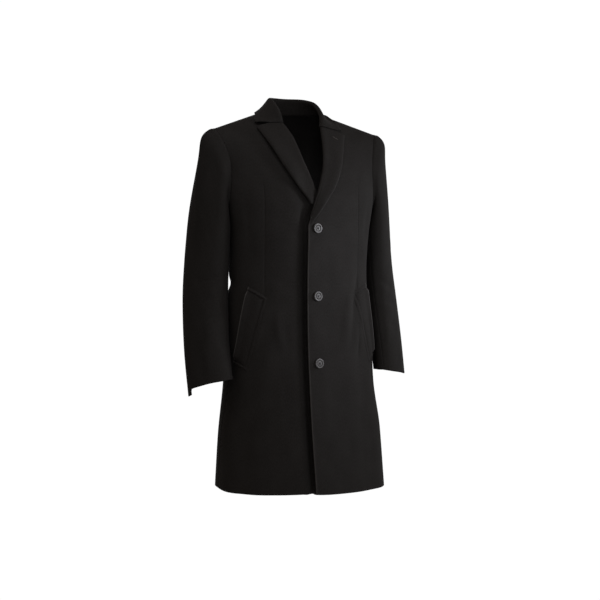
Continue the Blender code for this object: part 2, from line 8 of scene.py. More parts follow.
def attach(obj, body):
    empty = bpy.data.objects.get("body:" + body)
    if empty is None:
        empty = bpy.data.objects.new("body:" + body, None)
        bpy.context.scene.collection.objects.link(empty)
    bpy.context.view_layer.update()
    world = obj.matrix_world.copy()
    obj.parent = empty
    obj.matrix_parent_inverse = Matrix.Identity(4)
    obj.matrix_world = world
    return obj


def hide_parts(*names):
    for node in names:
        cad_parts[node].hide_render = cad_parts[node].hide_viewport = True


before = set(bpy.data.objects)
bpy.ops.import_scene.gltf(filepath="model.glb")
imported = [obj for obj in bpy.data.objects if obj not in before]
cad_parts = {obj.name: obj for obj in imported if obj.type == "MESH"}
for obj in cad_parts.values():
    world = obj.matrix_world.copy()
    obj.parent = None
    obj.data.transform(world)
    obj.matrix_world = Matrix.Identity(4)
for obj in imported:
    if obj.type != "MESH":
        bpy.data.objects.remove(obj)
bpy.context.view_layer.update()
bpy.ops.object.select_all(action="DESELECT")


# Fronts
# Two panels of black wool melton, each shaped by one long dart and hung from its shoulder seam.
# The left one laps over the right one, and its closing edge is turned in and pressed.

# Body sections: height, half width, depth of the side line, front, back, closing edge
BODY = (
    (-0.960, 0.2200, -0.050, -0.222, 0.122, -0.028),
    (-0.800, 0.2105, -0.050, -0.194, 0.118, -0.028),
    (-0.680, 0.1985, -0.050, -0.179, 0.115, -0.028),
    (-0.580, 0.1930, -0.051, -0.169, 0.106, -0.028),
    (-0.430, 0.1750, -0.052, -0.163, 0.082, -0.028),
    (-0.320, 0.1800, -0.050, -0.163, 0.092, -0.028),
    (-0.235, 0.1950, -0.044, -0.160, 0.103, -0.018),
    (-0.150, 0.2100, -0.030, -0.160, 0.106, -0.004),
    (-0.050, 0.2360, -0.022, -0.160, 0.106, 0.000),
    (0.040, 0.2360, -0.010, -0.160, 0.106, 0.000),
)
FRONT_PROW, FRONT_SQUARE, BACK_ROUND = 1.50, 2.30, 2.20
HEM_Z, ARMPIT_Z, SHOULDER_Z, NECK_Z = -0.945, -0.247, -0.0495, 0.0015
SHOULDER_X, SHOULDER_FORWARD, NECK_BACK = 0.221, 0.020, 0.018
SHOULDER_SLOPE = math.tan(math.radians(20))
NECK_X = SHOULDER_X - (NECK_Z - SHOULDER_Z) / SHOULDER_SLOPE
CHEST_TURN, BACK_TURN = (-0.235, 1.5, 1.6), (-0.235, 3.5, 2.2)
ARMHOLE_FRONT, ARMHOLE_BACK, ARMHOLE_FULL = 13, 16, 0.6

# Lift of the hem: degrees round the body from the closing edge, lift
HEM_LIFT = (
    (-180, 0.0060), (-95, 0.0140), (-80, 0.0105), (-60, 0.0102), (-25, 0.0125),
    (-3, 0.0140), (4, 0.0110), (14, 0.0085), (90, 0.0000), (180, 0.0060),
)
HEM_LIFT_FROM = -0.600

# Largest folds: degrees round the body, spread in degrees, bottom, top, height out of the cloth
FOLDS = (
    (39, 8, -0.66, -0.38, 0.0045),
    (52, 9, -0.95, -0.52, -0.0030),
    (-40, 10, -0.72, -0.42, 0.0025),
    (-62, 9, -0.95, -0.55, -0.0030),
    (122, 11, -0.98, -0.50, -0.0050),
    (148, 11, -0.98, -0.46, 0.0060),
    (82, 15, -0.80, -0.50, -0.0050),
    (-82, 15, -0.82, -0.50, -0.0085),
    (-85, 24, -0.58, -0.26, 0.0055),
    (-102, 14, -0.58, -0.26, 0.0072),
    (-120, 11, -0.98, -0.52, -0.0050),
    (-145, 11, -0.98, -0.48, 0.0060),
)

# Shares of its length over which a fold fades: one that runs to the hem, the top and bottom of others
FADE_TO_HEM, FADE_ABOVE, FADE_BELOW = 0.6, 0.5, 0.4

# Creases of the body: from degrees and height to degrees and height, bow, width, rise out of the cloth
CREASES = (
    (49.5, -0.395, 32, -0.605, 0.0095, 0.0085, 0.0036),
    (58, -0.395, 38.5, -0.605, 0.006, 0.0075, -0.0056),
    (55, -0.470, 53, -0.585, 0.003, 0.0085, 0.0024),
    (50, -0.556, 46, -0.622, -0.003, 0.0055, -0.0028),
    (24, -0.600, 20, -0.780, 0.006, 0.0140, -0.0012),
    (62, -0.215, 66, -0.345, 0.004, 0.0100, -0.0022),
    (10, -0.462, 44, -0.425, -0.006, 0.0090, -0.0010),
    (-35, -0.485, -28, -0.605, 0.003, 0.0095, 0.0038),
    (-25, -0.525, -23, -0.595, 0.002, 0.0055, -0.0022),
    (-44, -0.478, -56, -0.625, 0.002, 0.0120, 0.0024),
    (-58, -0.200, -64, -0.350, 0.005, 0.0110, -0.0024),
    (-82, -0.426, -124, -0.436, 0.000, 0.0140, -0.0056),
    (-14, -0.455, -50, -0.418, 0.008, 0.0100, -0.0012),
    (-30, -0.640, -26, -0.860, 0.010, 0.0180, 0.0016),
    (112, -0.372, 164, -0.412, 0.010, 0.0130, -0.0026),
    (106, -0.420, 150, -0.470, 0.012, 0.0150, -0.0020),
    (124, -0.185, 146, -0.300, 0.010, 0.0160, 0.0022),
    (-110, -0.385, -158, -0.430, -0.010, 0.0140, -0.0024),
    (-118, -0.350, -166, -0.362, -0.006, 0.0120, -0.0016),
    (-122, -0.190, -150, -0.290, -0.012, 0.0160, 0.0020),
)
DEGREE_LENGTH = 0.0034

# Dart under the chest: distance from the middle, height of its two ends, groove and the hollow round it
DART_X, DART_LOW, DART_HIGH = 0.127, -0.470, -0.165
DART_GROOVE, DART_GROOVE_WIDTH = 0.0010, 0.0011
DART_HOLLOW, DART_HOLLOW_WIDTH = 0.0012, 0.0130
DART_FADES = (DART_LOW - 0.004, DART_LOW + 0.012), (DART_HIGH, DART_HIGH - 0.060)


def through(rows, at, column):
    """Smooth curve through one column of a table, read at many places."""
    keys, values = (np.array([row[c] for row in rows]) for c in (0, column))
    before, after = np.arange(len(keys)) - 1, np.arange(len(keys)) + 1
    before[0], after[-1] = 0, len(keys) - 1
    slopes = (values[after] - values[before]) / (keys[after] - keys[before])
    at = np.clip(at, keys[0], keys[-1])
    k = np.clip(np.searchsorted(keys, at, side="right") - 1, 0, len(keys) - 2)
    span = keys[k + 1] - keys[k]
    return joined(values[k], values[k + 1], slopes[k] * span, slopes[k + 1] * span, (at - keys[k]) / span)


def joined(start, end, leaving, arriving, t):
    """Point at t of the curve that leaves and arrives with the given tangents."""
    return (
        start * (2 * t**3 - 3 * t**2 + 1)
        + leaving * (t**3 - 2 * t**2 + t)
        + end * (3 * t**2 - 2 * t**3)
        + arriving * (t**3 - t**2)
    )


def eased(low, high, value):
    """Smooth step from 0 at low to 1 at high."""
    t = np.clip((value - low) / (high - low), 0, 1)
    return t * t * (3 - 2 * t)


def unit(vectors):
    """The same directions with a length of one."""
    return vectors / np.maximum(np.linalg.norm(vectors, axis=-1, keepdims=True), 1e-9)


def shoulder_line(x):
    """Height and depth of the shoulder line at a distance from the middle."""
    out = np.abs(x)
    outwards = np.maximum(0, out - NECK_X) / (SHOULDER_X - NECK_X)
    height = SHOULDER_Z + (SHOULDER_X - out) * SHOULDER_SLOPE
    return height, NECK_BACK - (NECK_BACK + SHOULDER_FORWARD) * outwards


def turned_over(y, x, z, turn):
    """Depth after the form has turned over towards the shoulder line."""
    start, hollow, round_off = turn
    top, line = shoulder_line(x)
    up = np.clip((z - start) / (top - start), 0, 1)
    return line + (y - line) * (1 - up**hollow) ** (1 / round_off)


def crease_heights(creases, across, along, length_across):
    """Rise of soft troughs and ridges, each run from one place to another and faded at both ends."""
    rise_all = np.zeros(np.broadcast(across, along).shape)
    for from_a, from_z, to_a, to_z, bow, width, rise in creases:
        run_a, run_z = (to_a - from_a) * length_across, to_z - from_z
        length = math.hypot(run_a, run_z)
        side_a, side_z = (across - from_a) * length_across, along - from_z
        share = np.clip((side_a * run_a + side_z * run_z) / length**2, 0, 1)
        aside = (side_a * run_z - side_z * run_a) / length - bow * 4 * share * (1 - share)
        rise_all += rise * np.sin(np.pi * share) * np.exp(-((aside / width) ** 2))
    return rise_all


def fold_heights(angle, z):
    """Rise of the large folds, which run down to the hem or fade before it."""
    rise_all = np.zeros(np.broadcast(angle, z).shape)
    for middle, spread, bottom, top, rise in FOLDS:
        length = top - bottom
        if bottom < HEM_Z:
            along = eased(top, top - FADE_TO_HEM * length, z)
        else:
            along = eased(top, top - FADE_ABOVE * length, z) * eased(bottom, bottom + FADE_BELOW * length, z)
        rise_all += rise * along * np.exp(-(((angle - middle) / spread) ** 2))
    return rise_all


def dart_heights(x, z):
    """Groove of the dart's seam and the soft hollow on both sides of it."""
    aside = np.abs(x) - DART_X
    along = eased(*DART_FADES[0], z) * eased(*DART_FADES[1], z)
    groove = DART_GROOVE * np.exp(-((aside / DART_GROOVE_WIDTH) ** 2))
    return -along * (groove + DART_HOLLOW * np.exp(-((aside / DART_HOLLOW_WIDTH) ** 2)))


def body_form(side, angle, z):
    """Outer face of the coat body. The angle is 0 at the closing edge, 90 at the side, 180 behind."""
    angle, z = np.broadcast_arrays(np.asarray(angle, float), np.asarray(z, float))
    side = np.where((angle < 0) | (angle > 180), -side, side)
    angle = np.where(angle < 0, -angle, np.where(angle > 180, 360 - angle, angle))
    half, middle, front, back, edge = (through(BODY, z, c) for c in range(1, 6))
    turn = np.radians(angle)
    sine, cosine = np.maximum(np.sin(turn), 0), np.cos(turn)
    front_x = edge + side * (half - side * edge) * sine ** (2 / FRONT_PROW)
    front_y = middle - (middle - front) * np.maximum(cosine, 0) ** (2 / FRONT_SQUARE)
    back_x = side * half * sine ** (2 / BACK_ROUND)
    back_y = middle - (back - middle) * cosine
    ahead = angle <= 90
    x = np.where(ahead, front_x, back_x)
    y = np.where(ahead, turned_over(front_y, x, z, CHEST_TURN), turned_over(back_y, x, z, BACK_TURN))
    out = fold_heights(side * angle, z) + crease_heights(CREASES, side * angle, z, DEGREE_LENGTH)
    out = out + np.where(ahead, dart_heights(x, z), 0)
    lift = through(HEM_LIFT, side * angle, 1) * eased(HEM_LIFT_FROM, HEM_Z, z)
    return np.stack([x + side * out * sine, y - out * cosine, z + lift], axis=-1)


# Steps round and along the body that tell which way it faces, and how near the shoulder line it faces up
FACING_TURN, FACING_UP, FACING_DOWN, RIDGE_NEAR = 0.5, 0.0005, 0.0015, 0.002


def body_facing(side, angle, z):
    """Outward direction of the coat body."""
    angle, z = np.broadcast_arrays(np.asarray(angle, float), np.asarray(z, float))
    across = body_form(side, angle + FACING_TURN, z) - body_form(side, angle - FACING_TURN, z)
    along = body_form(side, angle, z + FACING_UP) - body_form(side, angle, z - FACING_DOWN)
    top = shoulder_line(body_form(side, angle, z)[..., 0])[0]
    over = unit(np.array((side * SHOULDER_SLOPE, 0.0, 1.0)))
    at_ridge = (z >= SHOULDER_Z) & (top - z < RIDGE_NEAR)
    return np.where(at_ridge[..., None], over, unit(np.cross(across, along) * side))


def front_angle(side, x, z):
    """Angle round the front of a place at distance x from the middle."""
    half, edge = through(BODY, z, 1), side * through(BODY, z, 5)
    ahead = np.arcsin(np.clip((x - edge) / (half - edge), 0, 1) ** (FRONT_PROW / 2))
    past = np.arcsin(np.clip((edge - x) / (half + edge), 0, 1) ** (FRONT_PROW / 2))
    return np.degrees(np.where(x >= edge, ahead, -past))


def back_angle(x, z):
    """Angle round the back of a place at distance x from the middle."""
    return 180 - np.degrees(np.arcsin(np.clip(np.abs(x) / through(BODY, z, 1), 0, 1) ** (BACK_ROUND / 2)))


# How far the right front is set in under the left one, and the left one stands proud along its edge
UNDER_DIP, CROSSING_DIP, BESIDE_EDGE_DIP = 0.0036, 0.0050, 0.0090
EDGE_X, EDGE_PROUD, EDGE_PROUD_WIDTH = -0.028, 0.0105, 0.150
# How far the left roll line sinks above the top button, where the lapel starts to roll
ROLL_SINKS, ROLL_SINKS_WIDTH = 0.0068, 0.017
# Where each of these starts and is full: distances from the middle, then heights
LAPPED_X, BESIDE_X = (0.074, 0.026), (0.052, 0.032)
LAPPED_Z, BESIDE_Z = (-0.150, -0.205), (-0.200, -0.300)
CROSSING_Z, PROUD_Z = (-0.300, -0.260), (-0.170, -0.240)
ROLLING_Z = (-0.302, -0.262), (-0.185, -0.240)


def lap_rise(side, x, z):
    """Rise of a front where the two lap: the right one is set in, the left one stands proud."""
    if side < 0:
        lapped = eased(*LAPPED_X, x) * eased(*LAPPED_Z, z)
        beside = BESIDE_EDGE_DIP * eased(*BESIDE_X, x) * eased(*BESIDE_Z, z)
        return -lapped * (UNDER_DIP + CROSSING_DIP * eased(*CROSSING_Z, z)) - beside
    nearer = np.clip(1 - (x - EDGE_X) / EDGE_PROUD_WIDTH, 0, 1)
    rolling = eased(*ROLLING_Z[0], z) * eased(*ROLLING_Z[1], z)
    inside = np.clip(1 - (x - roll_line(1, z)) / ROLL_SINKS_WIDTH, 0, 1.2)
    return EDGE_PROUD * nearer**1.1 * eased(*PROUD_Z, z) - ROLL_SINKS * rolling * inside**1.4


def front_place(side, x, z, lift):
    """Place over a front, at a lift from its outer face."""
    angle = front_angle(side, x, z)
    rise = np.asarray(lift + lap_rise(side, x, z))
    return body_form(side, angle, z) + body_facing(side, angle, z) * rise[..., None]


def seam_angle(side, part, z):
    """Angle of the edge opposite the middle: side seam, armhole or shoulder seam."""
    x = SHOULDER_X - np.maximum(0, z - SHOULDER_Z) / SHOULDER_SLOPE
    if part == "front":
        at_shoulder, deeper = front_angle(1, SHOULDER_X, SHOULDER_Z), -ARMHOLE_FRONT
        shoulder = front_angle(side, x, z)
    else:
        at_shoulder, deeper = back_angle(SHOULDER_X, SHOULDER_Z), ARMHOLE_BACK
        shoulder = back_angle(x, z)
    up = np.clip((z - ARMPIT_Z) / (SHOULDER_Z - ARMPIT_Z), 0, 1)
    armhole = 90 + (at_shoulder - 90) * up + deeper * (4 * up * (1 - up)) ** ARMHOLE_FULL
    return np.where(z <= SHOULDER_Z, armhole, shoulder)


# Rows of a body panel in each stretch of its height, and the closer ones at the hem
SKIRT_ROWS, ARMHOLE_ROWS, SHOULDER_ROWS, HEM_ROWS = 98, 45, 27, (0.0, 0.0014, 0.0030)


def panel_heights():
    """Heights of the rows of a body panel, close together at the hem, the armhole and the shoulder."""
    skirt = np.linspace(HEM_Z, ARMPIT_Z, SKIRT_ROWS)[1:-1]
    hem = HEM_Z + np.array(HEM_ROWS)
    armhole = ARMPIT_Z + (SHOULDER_Z - ARMPIT_Z) * (1 - np.cos(np.linspace(0, np.pi, ARMHOLE_ROWS))) / 2
    shoulder = SHOULDER_Z + (NECK_Z - SHOULDER_Z) * np.linspace(0, 1, SHOULDER_ROWS)[1:] ** 0.9
    return np.concatenate([hem, skirt, armhole, shoulder])


# Rounding of a free edge as a share of the wall, rounding of a sewn edge, turns of the loops round both
FREE_ROUND, SEAM_ROUND = 0.45, 0.0002
RIM_TURNS = np.pi * np.array((0.22, 0.5, 0.78))


def edges(grid, *places):
    """Marks the edges of a grid that run into a seam or get a painted highlight."""
    marks = np.zeros(grid.shape[:2], bool)
    for rows, columns in places:
        marks[rows, columns] = True
    return marks


def between(start, end, count, first=(), last=()):
    """Even steps from start to end, with closer ones given as shares next to either end."""
    steps = np.concatenate([np.linspace(0, 1, count), first, 1 - np.array(last)])
    return start + (end - start) * np.unique(steps)


ALL, FIRST, LAST = slice(None), slice(0, 1), slice(-1, None)


def cloth_shell(name, outer, wall, hand, sewn, dip=0.0007, soften=6, painted_highlight=False):
    """Wall of cloth under a grid of outer points. Free edges are round, sewn ones dip into their seam."""
    rows, columns = outer.shape[:2]

    # The edges are drawn in by the radius of their rounding, along the cloth
    outward, room = np.zeros_like(outer), np.full((rows, columns), np.inf)
    for edge, beside in ((0, 1), (-1, -2)):
        for at, next_to in (((edge, ALL), (beside, ALL)), ((ALL, edge), (ALL, beside))):
            outward[at] += unit(outer[at] - outer[next_to])
            room[at] = np.minimum(room[at], np.linalg.norm(outer[at] - outer[next_to], axis=-1))
    outward = unit(outward) * (np.linalg.norm(outward, axis=-1, keepdims=True) > 0)
    edge_round = np.minimum(np.where(sewn, SEAM_ROUND, wall * FREE_ROUND), room * 0.5)
    edge_round = np.where(np.isfinite(room), edge_round, 0)[..., None]
    outer = outer - outward * edge_round
    smooth = outer.copy()
    for _ in range(soften):
        middle = smooth[1:-1, 1:-1]
        around = smooth[:-2, 1:-1] + smooth[2:, 1:-1] + smooth[1:-1, :-2] + smooth[1:-1, 2:]
        smooth[1:-1, 1:-1] = middle * 0.5 + around * 0.125
    normals = unit(np.cross(np.gradient(smooth, axis=1), np.gradient(smooth, axis=0)) * hand)
    inner = smooth - normals * np.broadcast_to(wall, (rows, columns))[..., None]
    outer = outer - normals * np.where(sewn, dip, 0)[..., None]

    # Border of the grid in order, then loops round the edge from the outer to the inner face
    index = np.arange(rows * columns).reshape(rows, columns)
    border = np.concatenate([index[0, :-1], index[:-1, -1], index[-1, :0:-1], index[:0:-1, 0]])
    flat_outer, flat_inner, flat_out = (g.reshape(-1, 3) for g in (outer, inner, outward * edge_round))
    core = (flat_outer[border] + flat_inner[border]) / 2
    half = (flat_outer[border] - flat_inner[border]) / 2
    loops = [core + half * math.cos(a) + flat_out[border] * math.sin(a) for a in RIM_TURNS]
    points = np.concatenate([flat_outer, flat_inner, *loops])
    quads = np.stack([index[:-1, :-1], index[:-1, 1:], index[1:, 1:], index[1:, :-1]], axis=-1).reshape(-1, 4)
    faces = [quads, quads[:, ::-1] + index.size]
    rim = 2 * index.size + np.arange(len(loops) * len(border)).reshape(len(loops), -1)
    rings = [border, *rim, border + index.size]
    for upper, lower in zip(rings, rings[1:]):
        faces.append(np.stack([upper, lower, np.roll(lower, -1), np.roll(upper, -1)], axis=-1))
    faces = np.concatenate(faces)
    if hand < 0:
        faces = faces[:, ::-1]

    # Lengths along the cloth, in metres, for the run of the nap
    across = np.cumsum(np.linalg.norm(np.diff(outer, axis=1, prepend=outer[:, :1]), axis=-1), axis=1)
    along = np.cumsum(np.linalg.norm(np.diff(outer, axis=0, prepend=outer[:1]), axis=-1), axis=0)
    spread = np.stack([across, along], axis=-1).reshape(-1, 2)
    spread = np.concatenate([spread, spread] + [spread[border]] * len(loops))
    mesh = bpy.data.meshes.new(name)
    mesh.from_pydata(points.tolist(), [], faces.tolist())
    nap_map = mesh.uv_layers.new(name="cloth")
    corners = np.empty(len(mesh.loops), int)
    mesh.loops.foreach_get("vertex_index", corners)
    nap_map.data.foreach_set("uv", spread[corners].ravel())
    # Marked outer points and their rim loops carry a painted highlight, which the wool shows as a lighter
    # line
    shine = np.broadcast_to(painted_highlight, (rows, columns)).ravel().astype(float)
    shine = np.concatenate([shine, shine * 0] + [shine[border]] * len(loops))
    mesh.attributes.new("painted_highlight", "FLOAT", "POINT").data.foreach_set("value", shine)
    mesh.shade_smooth()
    piece = bpy.data.objects.new(name, mesh)
    bpy.context.scene.collection.objects.link(piece)
    return piece


def linear(hex_colour):
    """Linear colour of an sRGB hex value."""
    parts = [int(hex_colour[k : k + 2], 16) / 255 for k in (1, 3, 5)]
    return (*[c / 12.92 if c <= 0.04045 else ((c + 0.055) / 1.055) ** 2.4 for c in parts], 1)


def add_node(material, kind, settings=(), links=()):
    """Adds one node with its settings, and links given outputs to its inputs."""
    node = material.node_tree.nodes.new(kind)
    for key, value in dict(settings).items():
        if isinstance(key, str) and hasattr(node, key):
            setattr(node, key, value)
        else:
            node.inputs[key].default_value = value
    for key, output in dict(links).items():
        material.node_tree.links.new(output, node.inputs[key])
    return node


def wool_melton():
    """Black wool melton, milled and raised: matt, with a short nap brushed down and a faint bloom."""
    wool = bpy.data.materials.new("black wool melton")
    wool.use_nodes = True
    shader = wool.node_tree.nodes["Principled BSDF"]
    cloth = add_node(wool, "ShaderNodeUVMap", {"uv_map": "cloth"}).outputs["UV"]
    # Fibre flecks are about 0.3 mm wide and are drawn 2 mm wide, so that they show
    fleck_size, cloud_size = (1 / 0.002, 1 / 0.005, 1), (1 / 0.045, 1 / 0.070, 1)
    brushed = add_node(wool, "ShaderNodeMapping", {"Scale": fleck_size}, {"Vector": cloth})
    flecks = add_node(
        wool, "ShaderNodeTexNoise", {"Scale": 1.0, "Detail": 3.0}, {"Vector": brushed.outputs[0]}
    ).outputs[0]
    wide = add_node(wool, "ShaderNodeMapping", {"Scale": cloud_size}, {"Vector": cloth})
    clouds = add_node(
        wool, "ShaderNodeTexNoise", {"Scale": 1.0, "Detail": 2.0}, {"Vector": wide.outputs[0]}
    ).outputs[0]
    both = add_node(wool, "ShaderNodeMath", {"operation": "MULTIPLY_ADD", 1: 0.45}, {0: clouds, 2: flecks})
    shades = add_node(wool, "ShaderNodeValToRGB", {}, {"Fac": both.outputs[0]})
    low, high = shades.color_ramp.elements
    low.position, low.color = 0.45, linear("#171615")
    high.position, high.color = 0.98, linear("#201f1e")
    raised = add_node(wool, "ShaderNodeBump", {"Strength": 0.35, "Distance": 0.0006}, {"Height": flecks})
    # Painted highlight: marked edges are lightened towards this grey, standing in for light that catches them
    edge = add_node(wool, "ShaderNodeAttribute", {"attribute_name": "painted_highlight"})
    highlit_colour = add_node(
        wool,
        "ShaderNodeMix",
        {"data_type": "RGBA", 7: linear("#2f2e2d")},
        {0: edge.outputs["Fac"], 6: shades.outputs["Color"]},
    )
    wool.node_tree.links.new(highlit_colour.outputs[2], shader.inputs["Base Color"])
    wool.node_tree.links.new(raised.outputs["Normal"], shader.inputs["Normal"])
    shader.inputs["Roughness"].default_value = 1.0
    shader.inputs["Specular IOR Level"].default_value = 0.03
    shader.inputs["Sheen Weight"].default_value = 0.004
    shader.inputs["Sheen Roughness"].default_value = 0.45
    shader.inputs["Sheen Tint"].default_value = linear("#b9b0a8")
    return wool


WOOL = wool_melton()


def sew_on(piece, node):
    """Gives a piece of cloth its wool, hangs it from the root and hides the solid it stands for."""
    piece.data.materials.append(WOOL)
    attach(piece, "root")
    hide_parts(node)


# Closing edge and roll line of a front: height, distance from the middle
EDGE = (
    (-1.000, -0.0318), (-0.300, -0.0280), (-0.240, -0.0090), (-0.200, 0.0080), (-0.151, 0.0270),
    (-0.100, 0.0390), (-0.050, 0.0490), (-0.025, 0.0580), (NECK_Z, NECK_X - 0.006),
)
ROLL_CLOSER, ROLL_CLOSER_Z = 0.0050, ((-0.030, -0.080), (-0.260, -0.200))
WALL = 0.003
EDGE_RIDGE, EDGE_RIDGE_WIDTH, EDGE_RIDGE_Z = 0.0019, 0.0052, (-0.240, -0.290)
BUTTONED_TO = -0.288


def roll_line(side, z):
    """Distance of the closing edge and roll line from the middle. The right roll line is closer to it."""
    closer = ROLL_CLOSER * eased(*ROLL_CLOSER_Z[0], z) * eased(*ROLL_CLOSER_Z[1], z)
    return through(EDGE, z, 1) - (closer if side < 0 else 0)


def front_panel(side):
    """Outer points of a front, from the closing edge or roll line to side seam, armhole and shoulder."""
    z = panel_heights()[:, None]
    begin = front_angle(side, roll_line(side, z), z)
    finish = seam_angle(side, "front", z)
    at_dart = np.clip((front_angle(side, np.array(DART_X), z) - begin) / (finish - begin), 0.25, 0.80)
    by_edge = between(0, 1, 26, first=(0.008, 0.016, 0.025, 0.054), last=(0.024, 0.013, 0.0065))
    by_seam = between(0, 1, 22, first=(0.008, 0.016, 0.030), last=(0.018, 0.008))
    shares = np.concatenate([at_dart * by_edge, at_dart + (1 - at_dart) * by_seam[1:]], axis=1)
    angle = begin + (finish - begin) * shares
    place = body_form(side, angle, z)
    lap = lap_rise(side, side * place[..., 0], np.broadcast_to(z, angle.shape))
    from_edge = (angle - begin) * DEGREE_LENGTH
    ridge = EDGE_RIDGE * np.exp(-((from_edge / EDGE_RIDGE_WIDTH) ** 2)) * eased(*EDGE_RIDGE_Z, z)
    return place + body_facing(side, angle, z) * (ridge + lap)[..., None]


for half, side, area in (("left", 1, 0.248), ("right", -1, 0.249)):
    panel = front_panel(side)
    sewn = edges(panel, (ALL, LAST), (LAST, ALL))
    # The lower closing edge of the left front gets a painted highlight: a lighter line in place of light
    # catching it
    closing_highlight = side > 0 and edges(panel, (panel_heights() < BUTTONED_TO, slice(0, 2)))
    front = cloth_shell(f"{half}_front", panel, WALL, side, sewn, painted_highlight=closing_highlight)
    sew_on(front, f"front_{half}")


# Backs
# Two halves of the same wool, seamed down the middle of the back and left open below as a vent,
# where the right half runs on under the left one.

VENT_TOP, VENT_LAP, VENT_DIP, VENT_SLANT = -0.560, 0.040, 0.0040, 0.030
# Distances from the middle where the dip of the underlap starts and is full
VENT_DIP_X = 0.050, 0.006
# Each half runs this far past the middle, so that no light comes through the seam
SEAM_TUCK = 0.0003


def back_panel(side, lap):
    """Outer points of half the back, from the middle seam to side seam, armhole and shoulder."""
    z = panel_heights()[:, None]
    under = np.maximum(lap * eased(VENT_TOP + VENT_SLANT, VENT_TOP - VENT_SLANT, z), SEAM_TUCK)
    set_in = VENT_DIP * eased(VENT_TOP + VENT_SLANT, VENT_TOP - VENT_SLANT / 2, z) * lap / VENT_LAP
    begin = 180 + np.degrees(np.arcsin((under / through(BODY, z, 1)) ** (BACK_ROUND / 2)))
    finish = seam_angle(side, "back", z)
    shares = between(0, 1, 44, first=(0.006, 0.014), last=(0.014, 0.006))
    angle = begin + (finish - begin) * shares
    place = body_form(side, angle, z)
    dip = set_in * eased(*VENT_DIP_X, side * place[..., 0])
    return place - body_facing(side, angle, z) * dip[..., None]


for half, side, lap, width, area in (("left", 1, 0, 0.270, 0.253), ("right", -1, VENT_LAP, 0.310, 0.267)):
    panel = back_panel(side, lap)
    sewn = edges(panel, (ALL, LAST), (LAST, ALL), (panel_heights() > VENT_TOP, FIRST))
    back = cloth_shell(f"{half}_back", panel, WALL, -side, sewn)
    sew_on(back, f"back_{half}")


# Sleeves
# Each is sewn from a wide top piece and a narrow under piece, set into the armhole with a soft roll
# over the shoulder, bent forward at the elbow and open at the cuff.

# Sleeve sections of the right arm: height, out, back, two half sizes, turn, rise of the front
SLEEVE = (
    (-0.688, 0.2415, -0.063, 0.0370, 0.0580, 46, 0.34),
    (-0.590, 0.2430, -0.037, 0.0390, 0.0600, 42, 0.22),
    (-0.480, 0.2395, -0.014, 0.0410, 0.0640, 34, 0.08),
    (-0.400, 0.2350, -0.006, 0.0400, 0.0680, 27, 0.02),
    (-0.300, 0.2290, -0.006, 0.0385, 0.0720, 20, 0.00),
)
SLEEVE_END, SLEEVE_TOP = SLEEVE[0][0], SLEEVE[-1][0]
LEFT_SLEEVE_SHORTER, LEFT_CUFF_LEVEL = 0.93, 0.50
CAP_REACH, CAP_DROP, UNDERARM_REACH = 0.115, 1.5, 0.030
# Rise of each cuff's hem: share of the ring, rise. On the right the flap of the vent hangs lower.
CUFF_RISE = {
    -1: ((0, 0.008), (0.14, 0.007), (0.30, 0.0115), (0.52, 0.014), (0.64, 0.019), (0.80, 0.018), (1, 0.008)),
    1: ((0, 0.003), (0.14, 0.000), (0.50, 0.000), (0.62, 0.006), (0.80, 0.007), (1, 0.003)),
}
FLAP_FROM, FLAP_EDGE, FLAP_TO, FLAP_ENDS = 0.527, 0.0012, 0.600, 0.650
FRONT_SEAM, BACK_SEAM = 0.14, 0.80
SLEEVE_WALL, SLEEVE_SEAM_DIP, ARMHOLE_GAP = 0.0025, 0.0003, 0.0003
# Rows of the cap and of the arm, and the steps round and down that tell which way the sleeve faces
CAP_ROWS, ARM_ROWS, SHARE_STEP, DOWN_STEP, HEIGHT_STEP = 44, 70, 0.003, 0.01, 0.010
# How far down the cuff's rise starts
CUFF_RISE_FROM = 1.80

# Creases of a sleeve: from share of the ring and height to share and height, bow, width, rise
RIGHT_SLEEVE_CREASES = (
    (0.06, -0.270, 0.06, -0.405, 0.000, 0.0220, 0.0036),
    (0.06, -0.455, 0.06, -0.545, 0.000, 0.0220, 0.0012),
    (0.17, -0.405, 0.40, -0.430, 0.006, 0.0085, -0.0022),
    (0.15, -0.450, 0.37, -0.478, 0.006, 0.0090, -0.0026),
    (0.18, -0.505, 0.33, -0.520, 0.004, 0.0080, -0.0016),
    (0.30, -0.170, 0.42, -0.350, 0.008, 0.0150, -0.0016),
    (0.58, -0.190, 0.50, -0.420, 0.010, 0.0200, -0.0018),
    (0.30, -0.520, 0.33, -0.670, 0.006, 0.0140, 0.0018),
    (0.70, -0.395, 0.84, -0.440, 0.006, 0.0110, -0.0020),
    (0.68, -0.470, 0.85, -0.455, 0.005, 0.0100, -0.0016),
)
LEFT_SLEEVE_CREASES = (
    (0.16, -0.415, 0.38, -0.452, 0.008, 0.0090, -0.0026),
    (0.18, -0.470, 0.40, -0.492, 0.004, 0.0080, -0.0020),
    (0.20, -0.525, 0.34, -0.552, 0.004, 0.0090, -0.0016),
    (0.28, -0.180, 0.40, -0.330, 0.006, 0.0140, -0.0018),
    (0.44, -0.300, 0.40, -0.480, 0.008, 0.0170, -0.0016),
    (0.34, -0.560, 0.36, -0.660, 0.004, 0.0120, 0.0016),
    (0.72, -0.410, 0.86, -0.430, 0.006, 0.0110, -0.0020),
    (0.66, -0.480, 0.84, -0.472, 0.005, 0.0100, -0.0014),
)
RING_LENGTH = 0.350
# Fullness of the sleeve head: height, share of the cap where it is fullest, spread
HEAD_FULL = ((0.0006, 0.060, 0.045), (0.0055, 0.270, 0.130))


def upward(share):
    """How far up the ring of the sleeve a share lies, from 0 under the arm to 1 on the shoulder."""
    return (1 - np.cos(2 * np.pi * share)) / 2


def armhole_edge(side, share):
    """Edge of the armhole: share 0 under the arm, 0.25 in front, 0.5 on the shoulder, 0.75 behind."""
    z = ARMPIT_Z + (SHOULDER_Z - ARMPIT_Z) * upward(share)
    angle = np.where(share <= 0.5, seam_angle(side, "front", z), seam_angle(side, "back", z))
    return body_form(side, angle, z)


